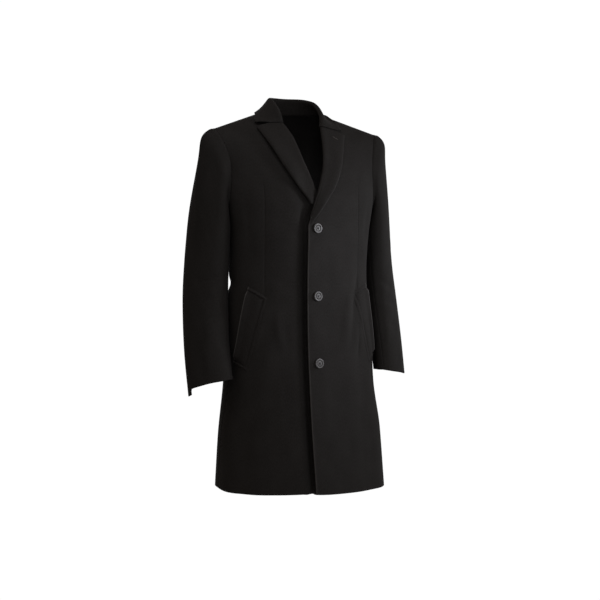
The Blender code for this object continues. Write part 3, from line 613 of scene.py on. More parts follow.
def sleeve_ring(side, share, z):
    """Points of the arm's section at a height."""
    out, back, narrow, wide, turn, rise = (through(SLEEVE, z, c) for c in range(1, 7))
    rise = rise if side < 0 else rise * LEFT_CUFF_LEVEL
    lateral, forward = -np.cos(2 * np.pi * share), np.sin(2 * np.pi * share)
    swing = np.radians(turn)
    along = forward * np.cos(swing) - lateral * np.sin(swing)
    aside = lateral * np.cos(swing) + forward * np.sin(swing)
    reach = 1 / np.hypot(along / wide, aside / narrow)
    drop = z if side < 0 else SLEEVE_TOP + (z - SLEEVE_TOP) * LEFT_SLEEVE_SHORTER
    x, y = side * (out + reach * lateral), back - reach * forward
    return np.stack([x, y, drop + rise * reach * along], axis=-1)


def sleeve_form(side, share, down):
    """Outer face of the sleeve: down is 0 at the armhole, 1 at the end of the cap and 2 at the cuff."""
    share, down = np.broadcast_arrays(np.asarray(share, float) % 1, np.asarray(down, float))
    start = armhole_edge(side, share) + np.array((side * ARMHOLE_GAP, 0, 0))
    end = sleeve_ring(side, share, np.full(share.shape, SLEEVE_TOP))
    below = sleeve_ring(side, share, np.full(share.shape, SLEEVE_TOP - HEIGHT_STEP))
    crown = upward(share)[..., None]
    leaving = np.array((side, 0, 0)) * (UNDERARM_REACH + (CAP_REACH - UNDERARM_REACH) * crown)
    far = np.linalg.norm(start - end, axis=-1, keepdims=True)
    arriving = unit(below - end) * far * (1 + (CAP_DROP - 1) * crown)
    cap = joined(start, end, leaving, arriving, np.clip(down, 0, 1)[..., None])
    arm = sleeve_ring(side, share, SLEEVE_TOP + (SLEEVE_END - SLEEVE_TOP) * np.clip(down - 1, 0, 1))
    return np.where((down <= 1)[..., None], cap, arm)


def sleeve_panel(side, begin, finish, columns, creases):
    """Outer points of one piece of a sleeve, between its front and back seams."""
    shares = between(begin, finish, columns, first=(0.012, 0.028), last=(0.028, 0.012))
    cap = between(0, 1, CAP_ROWS, first=(0.006, 0.014)) ** 1.15
    arm = between(1, 2, ARM_ROWS, last=(0.0075, 0.0035))
    down = np.concatenate([cap[:-1], arm])[:, None]
    rise = through(CUFF_RISE[side], shares % 1, 1)
    if side < 0 and begin < FLAP_FROM:
        shares = np.sort(np.append(shares, (FLAP_FROM - FLAP_EDGE, FLAP_FROM)))
        rise = through(CUFF_RISE[side], shares, 1)
        rise = np.where(shares < FLAP_FROM, rise, rise * eased(FLAP_TO, FLAP_ENDS, shares))
    down = down - rise / (SLEEVE_TOP - SLEEVE_END) * eased(CUFF_RISE_FROM, 2, down)
    place = sleeve_form(side, shares, down)
    across = sleeve_form(side, shares + SHARE_STEP, down) - sleeve_form(side, shares - SHARE_STEP, down)
    above, under = np.clip(down - DOWN_STEP, 0, 2), np.clip(down + DOWN_STEP, 0, 2)
    along = sleeve_form(side, shares, under) - sleeve_form(side, shares, above)
    facing = unit(np.cross(across, along) * -side)
    rise = crease_heights(creases, (shares + 0.08) % 1 - 0.08, place[..., 2], RING_LENGTH)
    for height, middle, spread in HEAD_FULL:
        rise = rise + height * upward(shares) ** 2 * np.exp(-(((down - middle) / spread) ** 2))
    return place + facing * rise[..., None]


# Pieces of a sleeve: name, seams that it lies between, columns, flat size, area
SLEEVE_PIECES = (
    ("top", FRONT_SEAM, BACK_SEAM, 40, (0.270, 0.680), 0.133),
    ("under", BACK_SEAM, 1 + FRONT_SEAM, 24, (0.150, 0.520), 0.048),
)
for arm, side, creases in (("left", 1, LEFT_SLEEVE_CREASES), ("right", -1, RIGHT_SLEEVE_CREASES)):
    for part, begin, finish, columns, flat, area in SLEEVE_PIECES:
        panel = sleeve_panel(side, begin, finish, columns, creases)
        sewn = edges(panel, (FIRST, ALL), (ALL, FIRST), (ALL, LAST))
        sleeve = cloth_shell(f"{arm}_sleeve_{part}", panel, SLEEVE_WALL, -side, sewn, dip=SLEEVE_SEAM_DIP)
        sew_on(sleeve, f"sleeve_{arm}_{part}")


# Lapels
# The fronts' facings, turned out along the roll line above the top button and pressed so that they
# stand a little off the chest. Each ends above in the gorge seam and the notch.

GORGE_Z, GORGE_LAP = -0.033, 0.0003
# Share of the way up a lapel, or along the collar, over which it settles into the gorge
SETTLES = 0.70, 1.0
NOTCH = {1: (0.0930, -0.0430), -1: (0.0815, -0.0378)}
COLLAR_CORNER = {1: (0.1070, -0.0410), -1: (0.1170, -0.0360)}
NOTCH_SHARE = 0.75
# Free edge of each lapel: height, distance from the middle
LAPEL_EDGE = {
    1: (
        (-0.296, -0.0275), (-0.265, -0.0035), (-0.230, 0.0212), (-0.190, 0.0515),
        (-0.150, 0.0733), (-0.100, 0.0937), (-0.055, 0.1135),
    ),
    -1: (
        (-0.296, -0.0275), (-0.265, -0.0030), (-0.230, 0.0235), (-0.190, 0.0530),
        (-0.150, 0.0750), (-0.100, 0.0975), (-0.047, 0.1185),
    ),
}
# The left gorge lies a little lower than the right one
GORGE_DROP = {1: 0.008, -1: 0.0}
LAPEL_LIFT, LAPEL_STANDS_OFF = 0.0050, {1: 0.0055, -1: 0.0095}
# Share of the width over which a lapel comes to stand off, and how much of that is gone at the gorge
STANDS_OFF_ACROSS, GONE_AT_GORGE = (0.05, 0.92), 0.6
LAPEL_EDGE_ROLL, LAPEL_EDGE_ROLL_WIDTH, LAPEL_FULL_WIDTH = 0.0036, 0.0046, 0.034
FOLD_WALL = 0.0024
# Section of the turned edge: step, outward, over the cloth
ROLL = (
    (0, -0.0037, -0.0026),
    (1, -0.0048, -0.0005),
    (2, -0.0044, 0.0024),
    (3, -0.0020, 0.0046),
    (4, 0.0020, 0.0054),
)
ROLL_STEPS = np.linspace(0, 4, 11)
ROLL_SIZE, ROLL_LEAST, ROLL_STEP = 0.85, 0.25, 0.002
TIP_SINKS, TIP_WALL = 0.0032, 0.3
LAPEL_ROWS, LAPEL_SPACING = 64, 1.3
LAPEL_SHARES = between(0, 1, 17, last=(0.040, 0.020))[1:]


def gorge_place(side, share, corner_x, corner_z):
    """Distance and height along the gorge seam, and beyond the notch along the free edge."""
    start_z = GORGE_Z - GORGE_DROP[side]
    roll_x = through(EDGE, np.array(start_z), 1)
    notch_x, notch_z = NOTCH[side][0], NOTCH[side][1] - GORGE_DROP[side]
    seam = np.clip(share / NOTCH_SHARE, 0, 1)
    free = np.clip((share - NOTCH_SHARE) / (1 - NOTCH_SHARE), 0, 1)
    x, z = roll_x + (notch_x - roll_x) * seam, start_z + (notch_z - start_z) * seam
    return x + (corner_x - x) * free, z + (corner_z - z) * free


def lapel_lift(side, share, width, high=1):
    """How far the lapel's outer face stands over the front, more towards its free edge below the notch."""
    off = LAPEL_STANDS_OFF[side] * (1 - GONE_AT_GORGE * eased(*SETTLES, high))
    taper = np.clip(width / LAPEL_FULL_WIDTH, 0, 1)
    rolled = np.clip(1 - (1 - share) * width / LAPEL_EDGE_ROLL_WIDTH, 0, 1) ** 2 * np.minimum(1, 2 * taper)
    return (LAPEL_LIFT + off * eased(*STANDS_OFF_ACROSS, share)) * taper**0.9 - LAPEL_EDGE_ROLL * rolled


def turned_edge(side, roll_x, z, ahead, size, sinks):
    """Points of the fold along the roll line, for cloth that then lies towards the points ahead."""
    at_roll = front_place(side, roll_x + sinks, z, -sinks)
    normal = body_facing(side, front_angle(side, roll_x, z), z)
    near = z - ROLL_STEP, z + ROLL_STEP
    low, high = (front_place(side, roll_line(side, at), at, 0 * z) for at in near)
    outward = unit(np.cross(normal, high - low))
    outward = outward * np.sign((outward * (ahead - at_roll)).sum(-1, keepdims=True))
    out, over = (through(ROLL, ROLL_STEPS, c)[:, None] for c in (1, 2))
    size = np.asarray(size)[..., None, None]
    return at_roll[..., None, :] + size * (outward[..., None, :] * out + normal[..., None, :] * over)


def lapel_panel(side, bottom):
    """Outer points of a lapel, from under the roll line to its free edge, tapered to its lower tip."""
    drop = GORGE_DROP[side]
    up = 1 - (1 - np.linspace(0, 1, LAPEL_ROWS)) ** LAPEL_SPACING
    z = (bottom + (GORGE_Z - drop + GORGE_LAP - bottom) * up)[:, None]
    edge_z = (bottom + (LAPEL_EDGE[side][-1][0] - drop - bottom) * up)[:, None]
    roll_x, edge_x = roll_line(side, z), through(LAPEL_EDGE[side], edge_z + drop * up[:, None], 1)
    share = LAPEL_SHARES[None, :]
    x, height = roll_x + (edge_x - roll_x) * share, z + (edge_z - z) * share
    seam_x, seam_z = gorge_place(side, share, edge_x[-1:], edge_z[-1:])
    settled = eased(*SETTLES, up)[:, None]
    x, height = x + (seam_x - x[-1:]) * settled, height + (seam_z + GORGE_LAP - height[-1:]) * settled
    taper = np.clip((edge_x - roll_x) / LAPEL_FULL_WIDTH, 0, 1)
    sinks = TIP_SINKS * (1 - taper) ** 4
    laid = front_place(side, x, height, lapel_lift(side, share, edge_x - roll_x, up[:, None]) - sinks)
    size = ROLL_SIZE * np.maximum(taper[:, 0], ROLL_LEAST)
    fold = turned_edge(side, roll_x[:, 0], z[:, 0], laid[:, 0], size, sinks[:, 0])
    return np.concatenate([fold, laid], axis=1), FOLD_WALL * (TIP_WALL + (1 - TIP_WALL) * taper)


LAPEL_LEFT_END, LAPEL_RIGHT_END = -0.293, -0.238
GORGE = slice(0, len(ROLL_STEPS) + (LAPEL_SHARES <= NOTCH_SHARE).sum())
left_lapel_panel, wall = lapel_panel(1, LAPEL_LEFT_END)
sewn = edges(left_lapel_panel, (LAST, GORGE))
# The lower free edge of the left lapel gets a painted highlight: a lighter line in place of light catching it
lower_edge_highlight = edges(left_lapel_panel, (slice(0, 30), slice(-2, None)))
lapel_left = cloth_shell("left_lapel", left_lapel_panel, wall, 1, sewn, dip=0, painted_highlight=lower_edge_highlight)
sew_on(lapel_left, "lapel_left")
panel, wall = lapel_panel(-1, LAPEL_RIGHT_END)
lapel_right = cloth_shell("right_lapel", panel, wall, -1, edges(panel, (LAST, GORGE)), dip=0)
sew_on(lapel_right, "lapel_right")


# Lapel buttonhole
# A slit near the corner of the left lapel, worked round with buttonhole stitch in dark grey silk twist.

HOLE_FROM, HOLE_TO, HOLE_WIDE, TWIST = (0.0720, -0.0630), (0.0870, -0.0715), 0.0011, 0.0006


def twisted_thread(name, dark, light):
    """Twisted thread: close slanting strands with a faint gloss along each."""
    thread = bpy.data.materials.new(name)
    thread.use_nodes = True
    shader = thread.node_tree.nodes["Principled BSDF"]
    place = add_node(thread, "ShaderNodeTexCoord")
    # Strands are about 0.3 mm apart and are drawn 1 mm apart, so that they show
    strands = add_node(
        thread,
        "ShaderNodeTexWave",
        {"bands_direction": "DIAGONAL", "Scale": 0.314 / 0.001},
        {"Vector": place.outputs["Object"]},
    )
    shades = add_node(thread, "ShaderNodeValToRGB", {}, {"Fac": strands.outputs["Fac"]})
    low, high = shades.color_ramp.elements
    low.color, high.color = linear(dark), linear(light)
    thread.node_tree.links.new(shades.outputs["Color"], shader.inputs["Base Color"])
    shader.inputs["Roughness"].default_value = 0.65
    shader.inputs["Specular IOR Level"].default_value = 0.15
    return thread


def edit(piece, mode):
    """Selects one piece alone and enters or leaves edit mode."""
    if bpy.context.mode != "OBJECT":
        bpy.ops.object.mode_set(mode="OBJECT")
    bpy.ops.object.select_all(action="DESELECT")
    bpy.context.view_layer.objects.active = piece
    piece.select_set(True)
    bpy.ops.object.mode_set(mode=mode)


def on_cloth(grid, x, z):
    """Place on a panel at a distance from the middle and a height, and the way the panel faces there."""
    row, column = np.unravel_index(np.argmin(np.hypot(grid[..., 0] - x, grid[..., 2] - z)), grid.shape[:2])
    across = grid[row, column + 1] - grid[row, column - 1]
    along = grid[row + 1, column] - grid[row - 1, column]
    facing = unit(np.cross(across, along))
    near = grid[row, column]
    y = near[1] - (facing[0] * (x - near[0]) + facing[2] * (z - near[2])) / facing[1]
    return Vector((x, y, z)), Vector(facing)


start, out_of_cloth = on_cloth(left_lapel_panel, *HOLE_FROM)
end, _ = on_cloth(left_lapel_panel, *HOLE_TO)
bpy.ops.mesh.primitive_torus_add(
    major_segments=40, minor_segments=8, major_radius=HOLE_WIDE, minor_radius=TWIST
)
buttonhole = bpy.context.active_object
buttonhole.name = buttonhole.data.name = "lapel_buttonhole"
edit(buttonhole, "EDIT")
bpy.ops.mesh.select_all(action="SELECT")
bpy.ops.transform.resize(value=((end - start).length / 2 / (HOLE_WIDE + TWIST), 1, 0.8))
edit(buttonhole, "OBJECT")
bpy.ops.object.shade_smooth()
run = (end - start).normalized()
aside = out_of_cloth.cross(run).normalized()
lies = Matrix((run, aside, run.cross(aside))).transposed().to_4x4()
buttonhole.data.transform(Matrix.Translation((start + end) / 2) @ lies)
buttonhole.data.materials.append(twisted_thread("grey silk twist", "#262423", "#3a3634"))
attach(buttonhole, "root")


# Collar
# One folded strip of wool round the neck: a stand inside, a rolled edge above, and a fall that lies on
# the shoulders and joins the lapels at the gorge.

# Stations from the middle of the back to the gorge: core of the fold, foot of the stand, edge in plan, lift
COLLAR = (
    (0.000, 0.0560, 0.0370, 0.000, 0.0580, -0.0010, 0.000, 0.0760, 0.0040),
    (0.034, 0.0480, 0.0370, 0.040, 0.0510, -0.0010, 0.053, 0.0660, 0.0040),
    (0.055, 0.0240, 0.0340, 0.066, 0.0270, -0.0010, 0.088, 0.0410, 0.0040),
    (0.060, 0.0000, 0.0270, 0.073, 0.0000, -0.0010, 0.101, 0.0060, 0.0030),
    (0.060, -0.0300, 0.0090, 0.067, -0.0240, -0.0060, 0.110, -0.0160, 0.0030),
    (0.058, -0.0480, -0.0100, 0.060, -0.0420, -0.0160, 0.116, -0.0290, 0.0034),
)
# Sag of the fall between roll and edge: behind, and in front on each side
FALL_SAG, FALL_SAG_FRONT = 0.004, {1: 0.0115, -1: 0.004}
# The left half rolls over a little lower, and its fall lies closer to the neck
ROLL_LOWER = {1: 0.0045, -1: 0.0}
FALL_CLOSER = {1: (-0.012, -0.006), -1: (0.0, 0.0)}
# Shares of the way to the gorge over which these come in, and go out again
LOWER_IN, LOWER_OUT, CLOSER_IN, CLOSER_OUT = (0.15, 0.45), (0.95, 0.70), (0.30, 0.65), (1.0, 0.85)
SAG_IN, LIES_ON_CHEST = (0.20, 0.55), (0.45, 1.0)
COLLAR_ROWS, COLLAR_SPACING, COLLAR_STEP = 44, 1.35, 0.02


def shoulder_height(x, y):
    """Height of the coat over a spot of the shoulder, given in plan."""
    top, line = shoulder_line(x)
    ahead = y < line
    chest, back = body_form(1, 0, CHEST_TURN[0])[1], body_form(1, 180, BACK_TURN[0])[1]
    reach = np.where(ahead, chest, back)
    hollow = np.where(ahead, CHEST_TURN[1], BACK_TURN[1])
    round_off = np.where(ahead, CHEST_TURN[2], BACK_TURN[2])
    share = np.clip(np.abs(y - line) / np.abs(reach - line), 0, 1)
    return CHEST_TURN[0] + (top - CHEST_TURN[0]) * (1 - share**round_off) ** (1 / hollow)


def collar_half(side):
    """Outer points of half the collar, on the left, from the foot of the stand to the edge of the fall."""
    drop = GORGE_DROP[side]
    rows = [(k / len(COLLAR), *station) for k, station in enumerate(COLLAR)]
    mirrored = [v if c not in (0, 1, 4, 7) else -v for c, v in enumerate(rows[1])]
    gorge = np.array([GORGE_Z - drop])
    roll_x = through(EDGE, gorge, 1)
    corner_x, corner_z = COLLAR_CORNER[side][0], COLLAR_CORNER[side][1] - drop
    tip = front_place(1, np.array(corner_x), np.array(corner_z), np.array(0.0))
    laid_x, laid_z = gorge_place(side, LAPEL_SHARES, corner_x, corner_z)
    laid = front_place(1, laid_x, laid_z, lapel_lift(side, LAPEL_SHARES, corner_x - roll_x))
    fold_end = turned_edge(1, roll_x, gorge, laid[None, 0], np.full(1, ROLL_SIZE), np.zeros(1))[0]
    end = front_place(1, roll_x, gorge, np.zeros(1))[0]
    rows = [tuple(mirrored), *rows, (1, *end, *fold_end[0], tip[0], tip[1], COLLAR[-1][-1])]

    at = 1 - (1 - np.linspace(0, 1, COLLAR_ROWS)) ** COLLAR_SPACING
    values = np.stack([through(rows, at, c) for c in range(1, 10)], axis=-1)
    values[:, 2] -= ROLL_LOWER[side] * eased(*LOWER_IN, at) * eased(*LOWER_OUT, at)
    values[:, 6:8] += np.outer(eased(*CLOSER_IN, at) * eased(*CLOSER_OUT, at), FALL_CLOSER[side])
    core, foot = values[:, 0:3], values[:, 3:6]
    edge_z = shoulder_height(values[:, 6], values[:, 7]) + values[:, 8]
    edge = np.stack([values[:, 6], values[:, 7], edge_z], axis=-1)
    behind, ahead = (
        np.stack([through(rows, np.clip(at + step, -0.1, 1), c) for c in (1, 2, 3)], axis=-1)
        for step in (-COLLAR_STEP, COLLAR_STEP)
    )
    run = unit(ahead - behind)
    chest = body_facing(1, front_angle(1, roll_x, gorge), gorge)[0]
    lies = eased(*LIES_ON_CHEST, at)[:, None]
    over = np.array((0.0, 0.0, 1.0)) * (1 - lies) + chest * lies
    over = unit(over - run * (over * run).sum(-1, keepdims=True))
    outward = np.cross(run, over)
    outward = outward * np.sign((outward * (edge - core)).sum(-1, keepdims=True))

    out, high = (through(ROLL, ROLL_STEPS, c)[None, :, None] for c in (1, 2))
    fold = core[:, None] + (outward[:, None] * out + over[:, None] * high) * ROLL_SIZE
    fold = fold[:, 2:]
    rise = np.linspace(0, 1, 7)[None, :-1, None]
    stand = foot[:, None] + (fold[:, :1] - foot[:, None]) * rise
    share = LAPEL_SHARES[None, :, None]
    sag = (FALL_SAG + (FALL_SAG_FRONT[side] - FALL_SAG) * eased(*SAG_IN, at))[:, None, None]
    fall = fold[:, -1:] + (edge[:, None] - fold[:, -1:]) * share - over[:, None] * sag * np.sin(np.pi * share)
    line = np.concatenate([stand, fold, fall], axis=1)
    last_stand = fold_end[:1] + (fold_end[2:3] - fold_end[:1]) * rise[0]
    last = np.concatenate([last_stand, fold_end[2:], laid], axis=0)
    meets = eased(*SETTLES, at)[:, None, None]
    return line + (last - line[-1]) * meets


half = collar_half(1)
other_half = collar_half(-1)[:0:-1] * np.array((-1, 1, 1))
strip = np.concatenate([other_half, half])
joined_to_lapel = slice(0, half.shape[1] - (LAPEL_SHARES > NOTCH_SHARE).sum())
sewn = (ALL, FIRST), (FIRST, joined_to_lapel), (LAST, joined_to_lapel)
collar = cloth_shell("collar_fall", strip, FOLD_WALL, 1, edges(strip, *sewn), dip=0)
sew_on(collar, "collar")


# Pocket welts
# A slanted welt of doubled wool on each front, sewn in along its front edge and its two ends. The folded
# back edge stands off as the mouth of the pocket.

# Corners: upper front, upper back, lower back, lower front. The right welt lies a little further round.
WELT = {
    1: ((0.118, -0.4575), (0.159, -0.4405), (0.181, -0.6095), (0.164, -0.6245)),
    -1: ((0.1295, -0.469), (0.159, -0.447), (0.1920, -0.6190), (0.1720, -0.6335)),
}
WELT_WALL, WELT_OPENS = 0.0026, 0.0054
# Where the mouth comes to stand open: share of the width, distance from the ends
OPENS_BACK, OPENS_FROM_END = (0.66, 1.04), (-0.002, 0.012)
# Section across a sewn edge: distance from the seam, lift over the front, and the lower lip in front
WELT_SEAM = (
    (-0.0090, 0.0001, 0.0001),
    (-0.0060, 0.0012, 0.0005),
    (-0.0034, 0.0026, 0.0010),
    (-0.0020, 0.0027, 0.0010),
    (-0.0009, 0.0015, 0.0006),
    (0.0000, 0.0001, 0.0001),
    (0.0012, 0.0001, 0.0001),
    (0.0026, 0.0011, 0.0011),
    (0.0080, 0.0021, 0.0021),
    (0.0200, 0.0026, 0.0026),
)
SEAM_STEPS = np.array([row[0] for row in WELT_SEAM[:-2]])
# Rows between the two ends and how far from them, and shares of the width, closer at the mouth
WELT_ROWS, WELT_ROWS_FROM = 30, 0.010
WELT_SHARES = np.sort(np.append(np.linspace(0.25, 1, 12), (0.91, 0.965, 0.985)))


def welt_panel(side):
    """Outer points of a welt and of the lip of the front round its seam."""
    top_front, top_back, low_back, low_front = np.array(WELT[side])
    length = np.linalg.norm((low_front + low_back - top_front - top_back) / 2)
    middle = np.linspace(WELT_ROWS_FROM, length - WELT_ROWS_FROM, WELT_ROWS)
    down = np.concatenate([SEAM_STEPS, middle, length - SEAM_STEPS[::-1]])[:, None]
    width_top, width_low = np.linalg.norm(top_back - top_front), np.linalg.norm(low_back - low_front)
    width = width_top + (width_low - width_top) * down / length
    back = np.concatenate([0 * down + SEAM_STEPS, width * WELT_SHARES], axis=1)
    share_down, share_back = (down / length)[..., None], (back / width)[..., None]
    upper = top_front + (top_back - top_front) * share_back
    lower = low_front + (low_back - low_front) * share_back
    spot = upper + (lower - upper) * share_down
    from_end = np.minimum(down, length - down)
    inside = np.minimum(back, from_end)
    lift = np.where(back <= from_end, through(WELT_SEAM, inside, 2), through(WELT_SEAM, inside, 1))
    lift = lift + WELT_OPENS * eased(*OPENS_BACK, back / width) * eased(*OPENS_FROM_END, from_end)
    return front_place(side, spot[..., 0], spot[..., 1], lift)


for hip, side in (("left", 1), ("right", -1)):
    panel = welt_panel(side)
    sewn = edges(panel, (ALL, FIRST), (FIRST, ALL), (LAST, ALL))
    # The mouth of each welt gets a painted highlight: a lighter rim in place of light catching it
    mouth_highlight = edges(panel, (ALL, slice(-3, None)))
    welt = cloth_shell(f"{hip}_welt", panel, WELT_WALL, -side, sewn, soften=0, painted_highlight=mouth_highlight)
    sew_on(welt, f"welt_{hip}")


# Buttons
# Turned grey polyester buttons with a raised rim and four holes, sewn to the left front with black
# thread on a short shank.

BUTTON_Z, BUTTON_X = (-0.297, -0.462, -0.625), -0.0062
BUTTON_RADIUS, BUTTON_THICK, BUTTON_STANDS, SEAT_REACH = 0.0115, 0.0042, 0.0007, 0.006
BUTTON_RIM, GROOVE_WIDTH, GROOVE_DEPTH, BUTTON_DISH = 0.0032, 0.0010, 0.0022, 0.0005
BUTTON_ROUND, HOLE_RADIUS, HOLE_APART = 0.0003, 0.0012, 0.0034
DRILL_LENGTH = 0.02


def turned_polyester():
    """Cast polyester, turned and tumbled to a satin gloss, clouded in two greys like horn."""
    made = bpy.data.materials.new("grey polyester")
    made.use_nodes = True
    shader = made.node_tree.nodes["Principled BSDF"]
    place = add_node(made, "ShaderNodeTexCoord")
    cloud_size = 1 / 0.004, 1 / 0.004, 1 / 0.009
    streak = add_node(made, "ShaderNodeMapping", {"Scale": cloud_size}, {"Vector": place.outputs["Object"]})
    cloud = add_node(made, "ShaderNodeTexNoise", {"Scale": 1.0, "Detail": 3.0}, {"Vector": streak.outputs[0]})
    shades = add_node(made, "ShaderNodeValToRGB", {}, {"Fac": cloud.outputs[0]})
    low, high = shades.color_ramp.elements
    low.position, low.color = 0.3, linear("#2c2b2a")
    high.position, high.color = 0.7, linear("#3a3938")
    made.node_tree.links.new(shades.outputs["Color"], shader.inputs["Base Color"])
    shader.inputs["Roughness"].default_value = 0.50
    shader.inputs["Specular IOR Level"].default_value = 0.28
    shader.inputs["IOR"].default_value = 1.54
    return made


POLYESTER = turned_polyester()
BLACK_THREAD = twisted_thread("black thread", "#0a0909", "#121111")
SHANK_RADIUS, SHANK_LENGTH, STITCH_LENGTH, STITCH_SHAPE = 0.0018, 0.0036, 0.0072, (1, 0.36, 0.20)


def seat_on_front(height):
    """Where a button sits on the left front at a height, turned to face out of the cloth."""
    x, z, flat, near = np.array(BUTTON_X), np.array(height), np.array(0.0), SEAT_REACH
    across = front_place(1, x + near, z, flat) - front_place(1, x - near, z, flat)
    along = front_place(1, x, z + near, flat) - front_place(1, x, z - near, flat)
    facing = Vector(unit(np.cross(across, along)))
    seat = Vector(front_place(1, x, z, np.array(BUTTON_STANDS)))
    return Matrix.Translation(seat) @ Vector((0, 0, 1)).rotation_difference(facing).to_matrix().to_4x4()


def make_button(name, height):
    """Button turned from a disc: rim raised by an inset, holes drilled, edges rounded, then seated."""
    bpy.ops.mesh.primitive_cylinder_add(
        vertices=48, radius=BUTTON_RADIUS, depth=BUTTON_THICK, location=(0, 0, BUTTON_THICK / 2)
    )
    button = bpy.context.active_object
    button.name = button.data.name = name
    bpy.ops.object.transform_apply(location=True, rotation=True, scale=True)
    edit(button, "EDIT")
    bpy.ops.mesh.select_mode(type="FACE")
    bpy.ops.mesh.select_all(action="DESELECT")
    edit(button, "OBJECT")
    for face in button.data.polygons:
        face.select = face.normal.z > 0.9
    edit(button, "EDIT")
    bpy.ops.mesh.inset(thickness=BUTTON_RIM, depth=0)
    bpy.ops.mesh.inset(thickness=GROOVE_WIDTH, depth=-GROOVE_DEPTH)
    bpy.ops.mesh.inset(thickness=GROOVE_WIDTH, depth=GROOVE_DEPTH - BUTTON_DISH)
    edit(button, "OBJECT")
    bevel = button.modifiers.new("rounded", "BEVEL")
    bevel.width, bevel.segments = BUTTON_ROUND, 2
    bevel.limit_method, bevel.angle_limit = "ANGLE", math.radians(35)
    bpy.ops.object.modifier_apply(modifier=bevel.name)
    for turn in range(4):
        angle = math.pi / 4 + turn * math.pi / 2
        spot = Matrix.Rotation(angle, 3, "Z") @ Vector((HOLE_APART / math.sqrt(2), 0, 0))
        bpy.ops.mesh.primitive_cylinder_add(
            vertices=16, radius=HOLE_RADIUS, depth=DRILL_LENGTH, location=spot
        )
        drill = bpy.context.active_object
        edit(button, "OBJECT")
        hole = button.modifiers.new("hole", "BOOLEAN")
        hole.operation, hole.object, hole.solver = "DIFFERENCE", drill, "EXACT"
        bpy.ops.object.modifier_apply(modifier=hole.name)
        bpy.data.objects.remove(drill, do_unlink=True)
    button.data.transform(seat_on_front(height))
    edit(button, "OBJECT")
    bpy.ops.object.shade_smooth_by_angle(angle=math.radians(32))
    button.data.materials.append(POLYESTER)
    return button


def make_thread(name, height):
    """Shank of thread under a button, and two stitches that cross between its holes."""
    bpy.ops.mesh.primitive_cylinder_add(vertices=16, radius=SHANK_RADIUS, depth=SHANK_LENGTH)
    thread = bpy.context.active_object
    thread.name = thread.data.name = name
    edit(thread, "EDIT")
    for turn in (45, 135):
        bpy.ops.mesh.primitive_uv_sphere_add(
            segments=12,
            ring_count=8,
            radius=STITCH_LENGTH / 2,
            location=(0, 0, BUTTON_THICK - BUTTON_DISH),
            rotation=(0, 0, math.radians(turn)),
            scale=STITCH_SHAPE,
        )
    edit(thread, "OBJECT")
    bpy.ops.object.shade_smooth_by_angle(angle=math.radians(40))
    thread.data.transform(seat_on_front(height))
    thread.data.materials.append(BLACK_THREAD)
    return thread


for count, height in enumerate(BUTTON_Z, 1):
    button = make_button(f"front_button_{count}", height)
    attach(button, "root")
    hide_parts(f"button_{count}")
    thread = make_thread(f"button_thread_{count}", height)
    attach(thread, "root")


# Camera, light and floor
# A long lens between chest and waist, on the right side of the coat. Soft lamps light it mostly from its
# left side and from behind, in a dim room with a white glow behind it.

CAMERA_PLACE, CAMERA_TURN = (-1.2175, -3.0133, -0.3786), math.radians(22)
LENS, SENSOR, SHIFT = 76.47, 36, (7 / 600, -38 / 600)
FLOOR_RADIUS, FLOOR_Z = 1.0, -1.52
bpy.ops.object.camera_add(location=CAMERA_PLACE, rotation=(math.pi / 2, 0, -CAMERA_TURN))
camera = bpy.context.active_object
camera.data.lens, camera.data.sensor_width = LENS, SENSOR
camera.data.shift_x, camera.data.shift_y = SHIFT
bpy.context.scene.camera = camera

bpy.ops.mesh.primitive_circle_add(
    vertices=96, radius=FLOOR_RADIUS, fill_type="NGON", location=(0, 0, FLOOR_Z)
)
floor = bpy.context.active_object
floor.name = "studio_floor"
paper = bpy.data.materials.new("white paper")
paper.use_nodes = True
paper.node_tree.nodes["Principled BSDF"].inputs["Base Color"].default_value = linear("#f0f0ee")
paper.node_tree.nodes["Principled BSDF"].inputs["Roughness"].default_value = 0.9
floor.data.materials.append(paper)

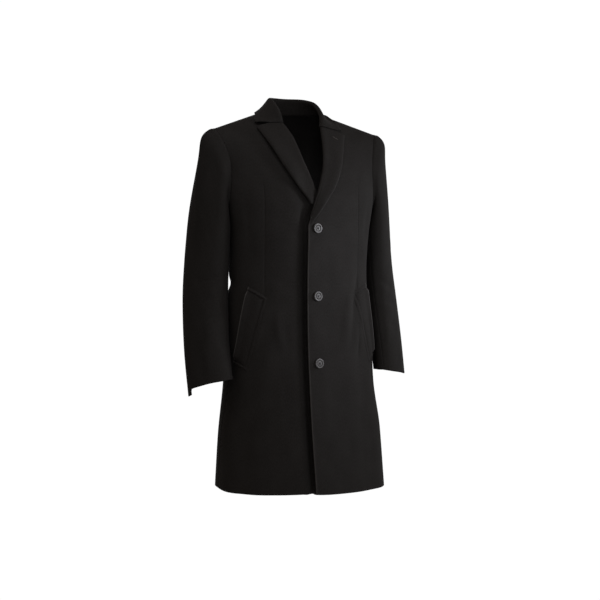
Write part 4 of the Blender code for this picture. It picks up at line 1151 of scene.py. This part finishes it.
# The room is dim and warm all round, lighter above, with a white glow behind the coat
ROOM, ROOM_LIGHTER, GLOW, GLOW_FROM, GLOW_FULL = 0.34, 0.36, 1.02, 0.45, 0.90
ROOM_COLOUR = 1.0, 0.87, 0.79, 1
studio = bpy.data.worlds.new("studio")
bpy.context.scene.world = studio
studio.use_nodes = True
way = add_node(studio, "ShaderNodeTexCoord").outputs["Generated"]
ahead = {"operation": "DOT_PRODUCT", 1: (math.sin(CAMERA_TURN), math.cos(CAMERA_TURN), 0)}
behind = add_node(studio, "ShaderNodeVectorMath", ahead, {0: way}).outputs["Value"]
height = add_node(studio, "ShaderNodeSeparateXYZ", {}, {0: way}).outputs["Z"]
lighter = {"operation": "MULTIPLY_ADD", 1: ROOM_LIGHTER, 2: ROOM}
room = add_node(studio, "ShaderNodeMath", lighter, {0: height}).outputs[0]
within = {"interpolation_type": "SMOOTHSTEP", 1: GLOW_FROM, 2: GLOW_FULL}
lit = add_node(studio, "ShaderNodeMapRange", within, {0: behind}).outputs[0]
strength = add_node(studio, "ShaderNodeMix", {3: GLOW}, {0: lit, 2: room})
tints = {"data_type": "RGBA", 6: ROOM_COLOUR, 7: (1, 1, 1, 1)}
colour = add_node(studio, "ShaderNodeMix", tints, {0: lit})
backdrop = studio.node_tree.nodes["Background"]
studio.node_tree.links.new(strength.outputs[0], backdrop.inputs["Strength"])
studio.node_tree.links.new(colour.outputs[2], backdrop.inputs["Color"])
bpy.context.scene.view_settings.view_transform = "Standard"

# Each lamp: place, aim, size, spread in degrees, watts
LAMPS = (
    ((0.79, -0.75, -0.22), (-0.24, -0.20, -0.36), 0.26, 64, 1.55),
    ((2.20, -0.20, -0.10), (0.15, -0.05, -0.45), 0.40, 70, 6.6),
    ((0.50, -2.00, -1.10), (0.05, -0.15, -0.75), 0.80, 90, 3.0),
    ((0.30, 2.60, 0.90), (0, 0.05, -0.45), 1.20, 150, 22),
    ((-0.45, -0.50, 1.10), (-0.16, -0.06, -0.12), 0.40, 44, 0.48),
    ((-0.60, -1.80, -0.20), (-0.08, -0.15, -0.28), 0.50, 40, 0.28),
)
LAMP_COLOUR = 0.91, 0.93, 1.0
for place, aim, size, spread, watts in LAMPS:
    bpy.ops.object.light_add(type="AREA", location=place)
    lamp = bpy.context.active_object
    lamp.data.shape, lamp.data.size, lamp.data.energy = "DISK", size, watts
    lamp.rotation_euler = (Vector(aim) - Vector(place)).to_track_quat("-Z", "Y").to_euler()
    lamp.data.spread, lamp.data.color = math.radians(spread), LAMP_COLOUR
    lamp.visible_camera = False
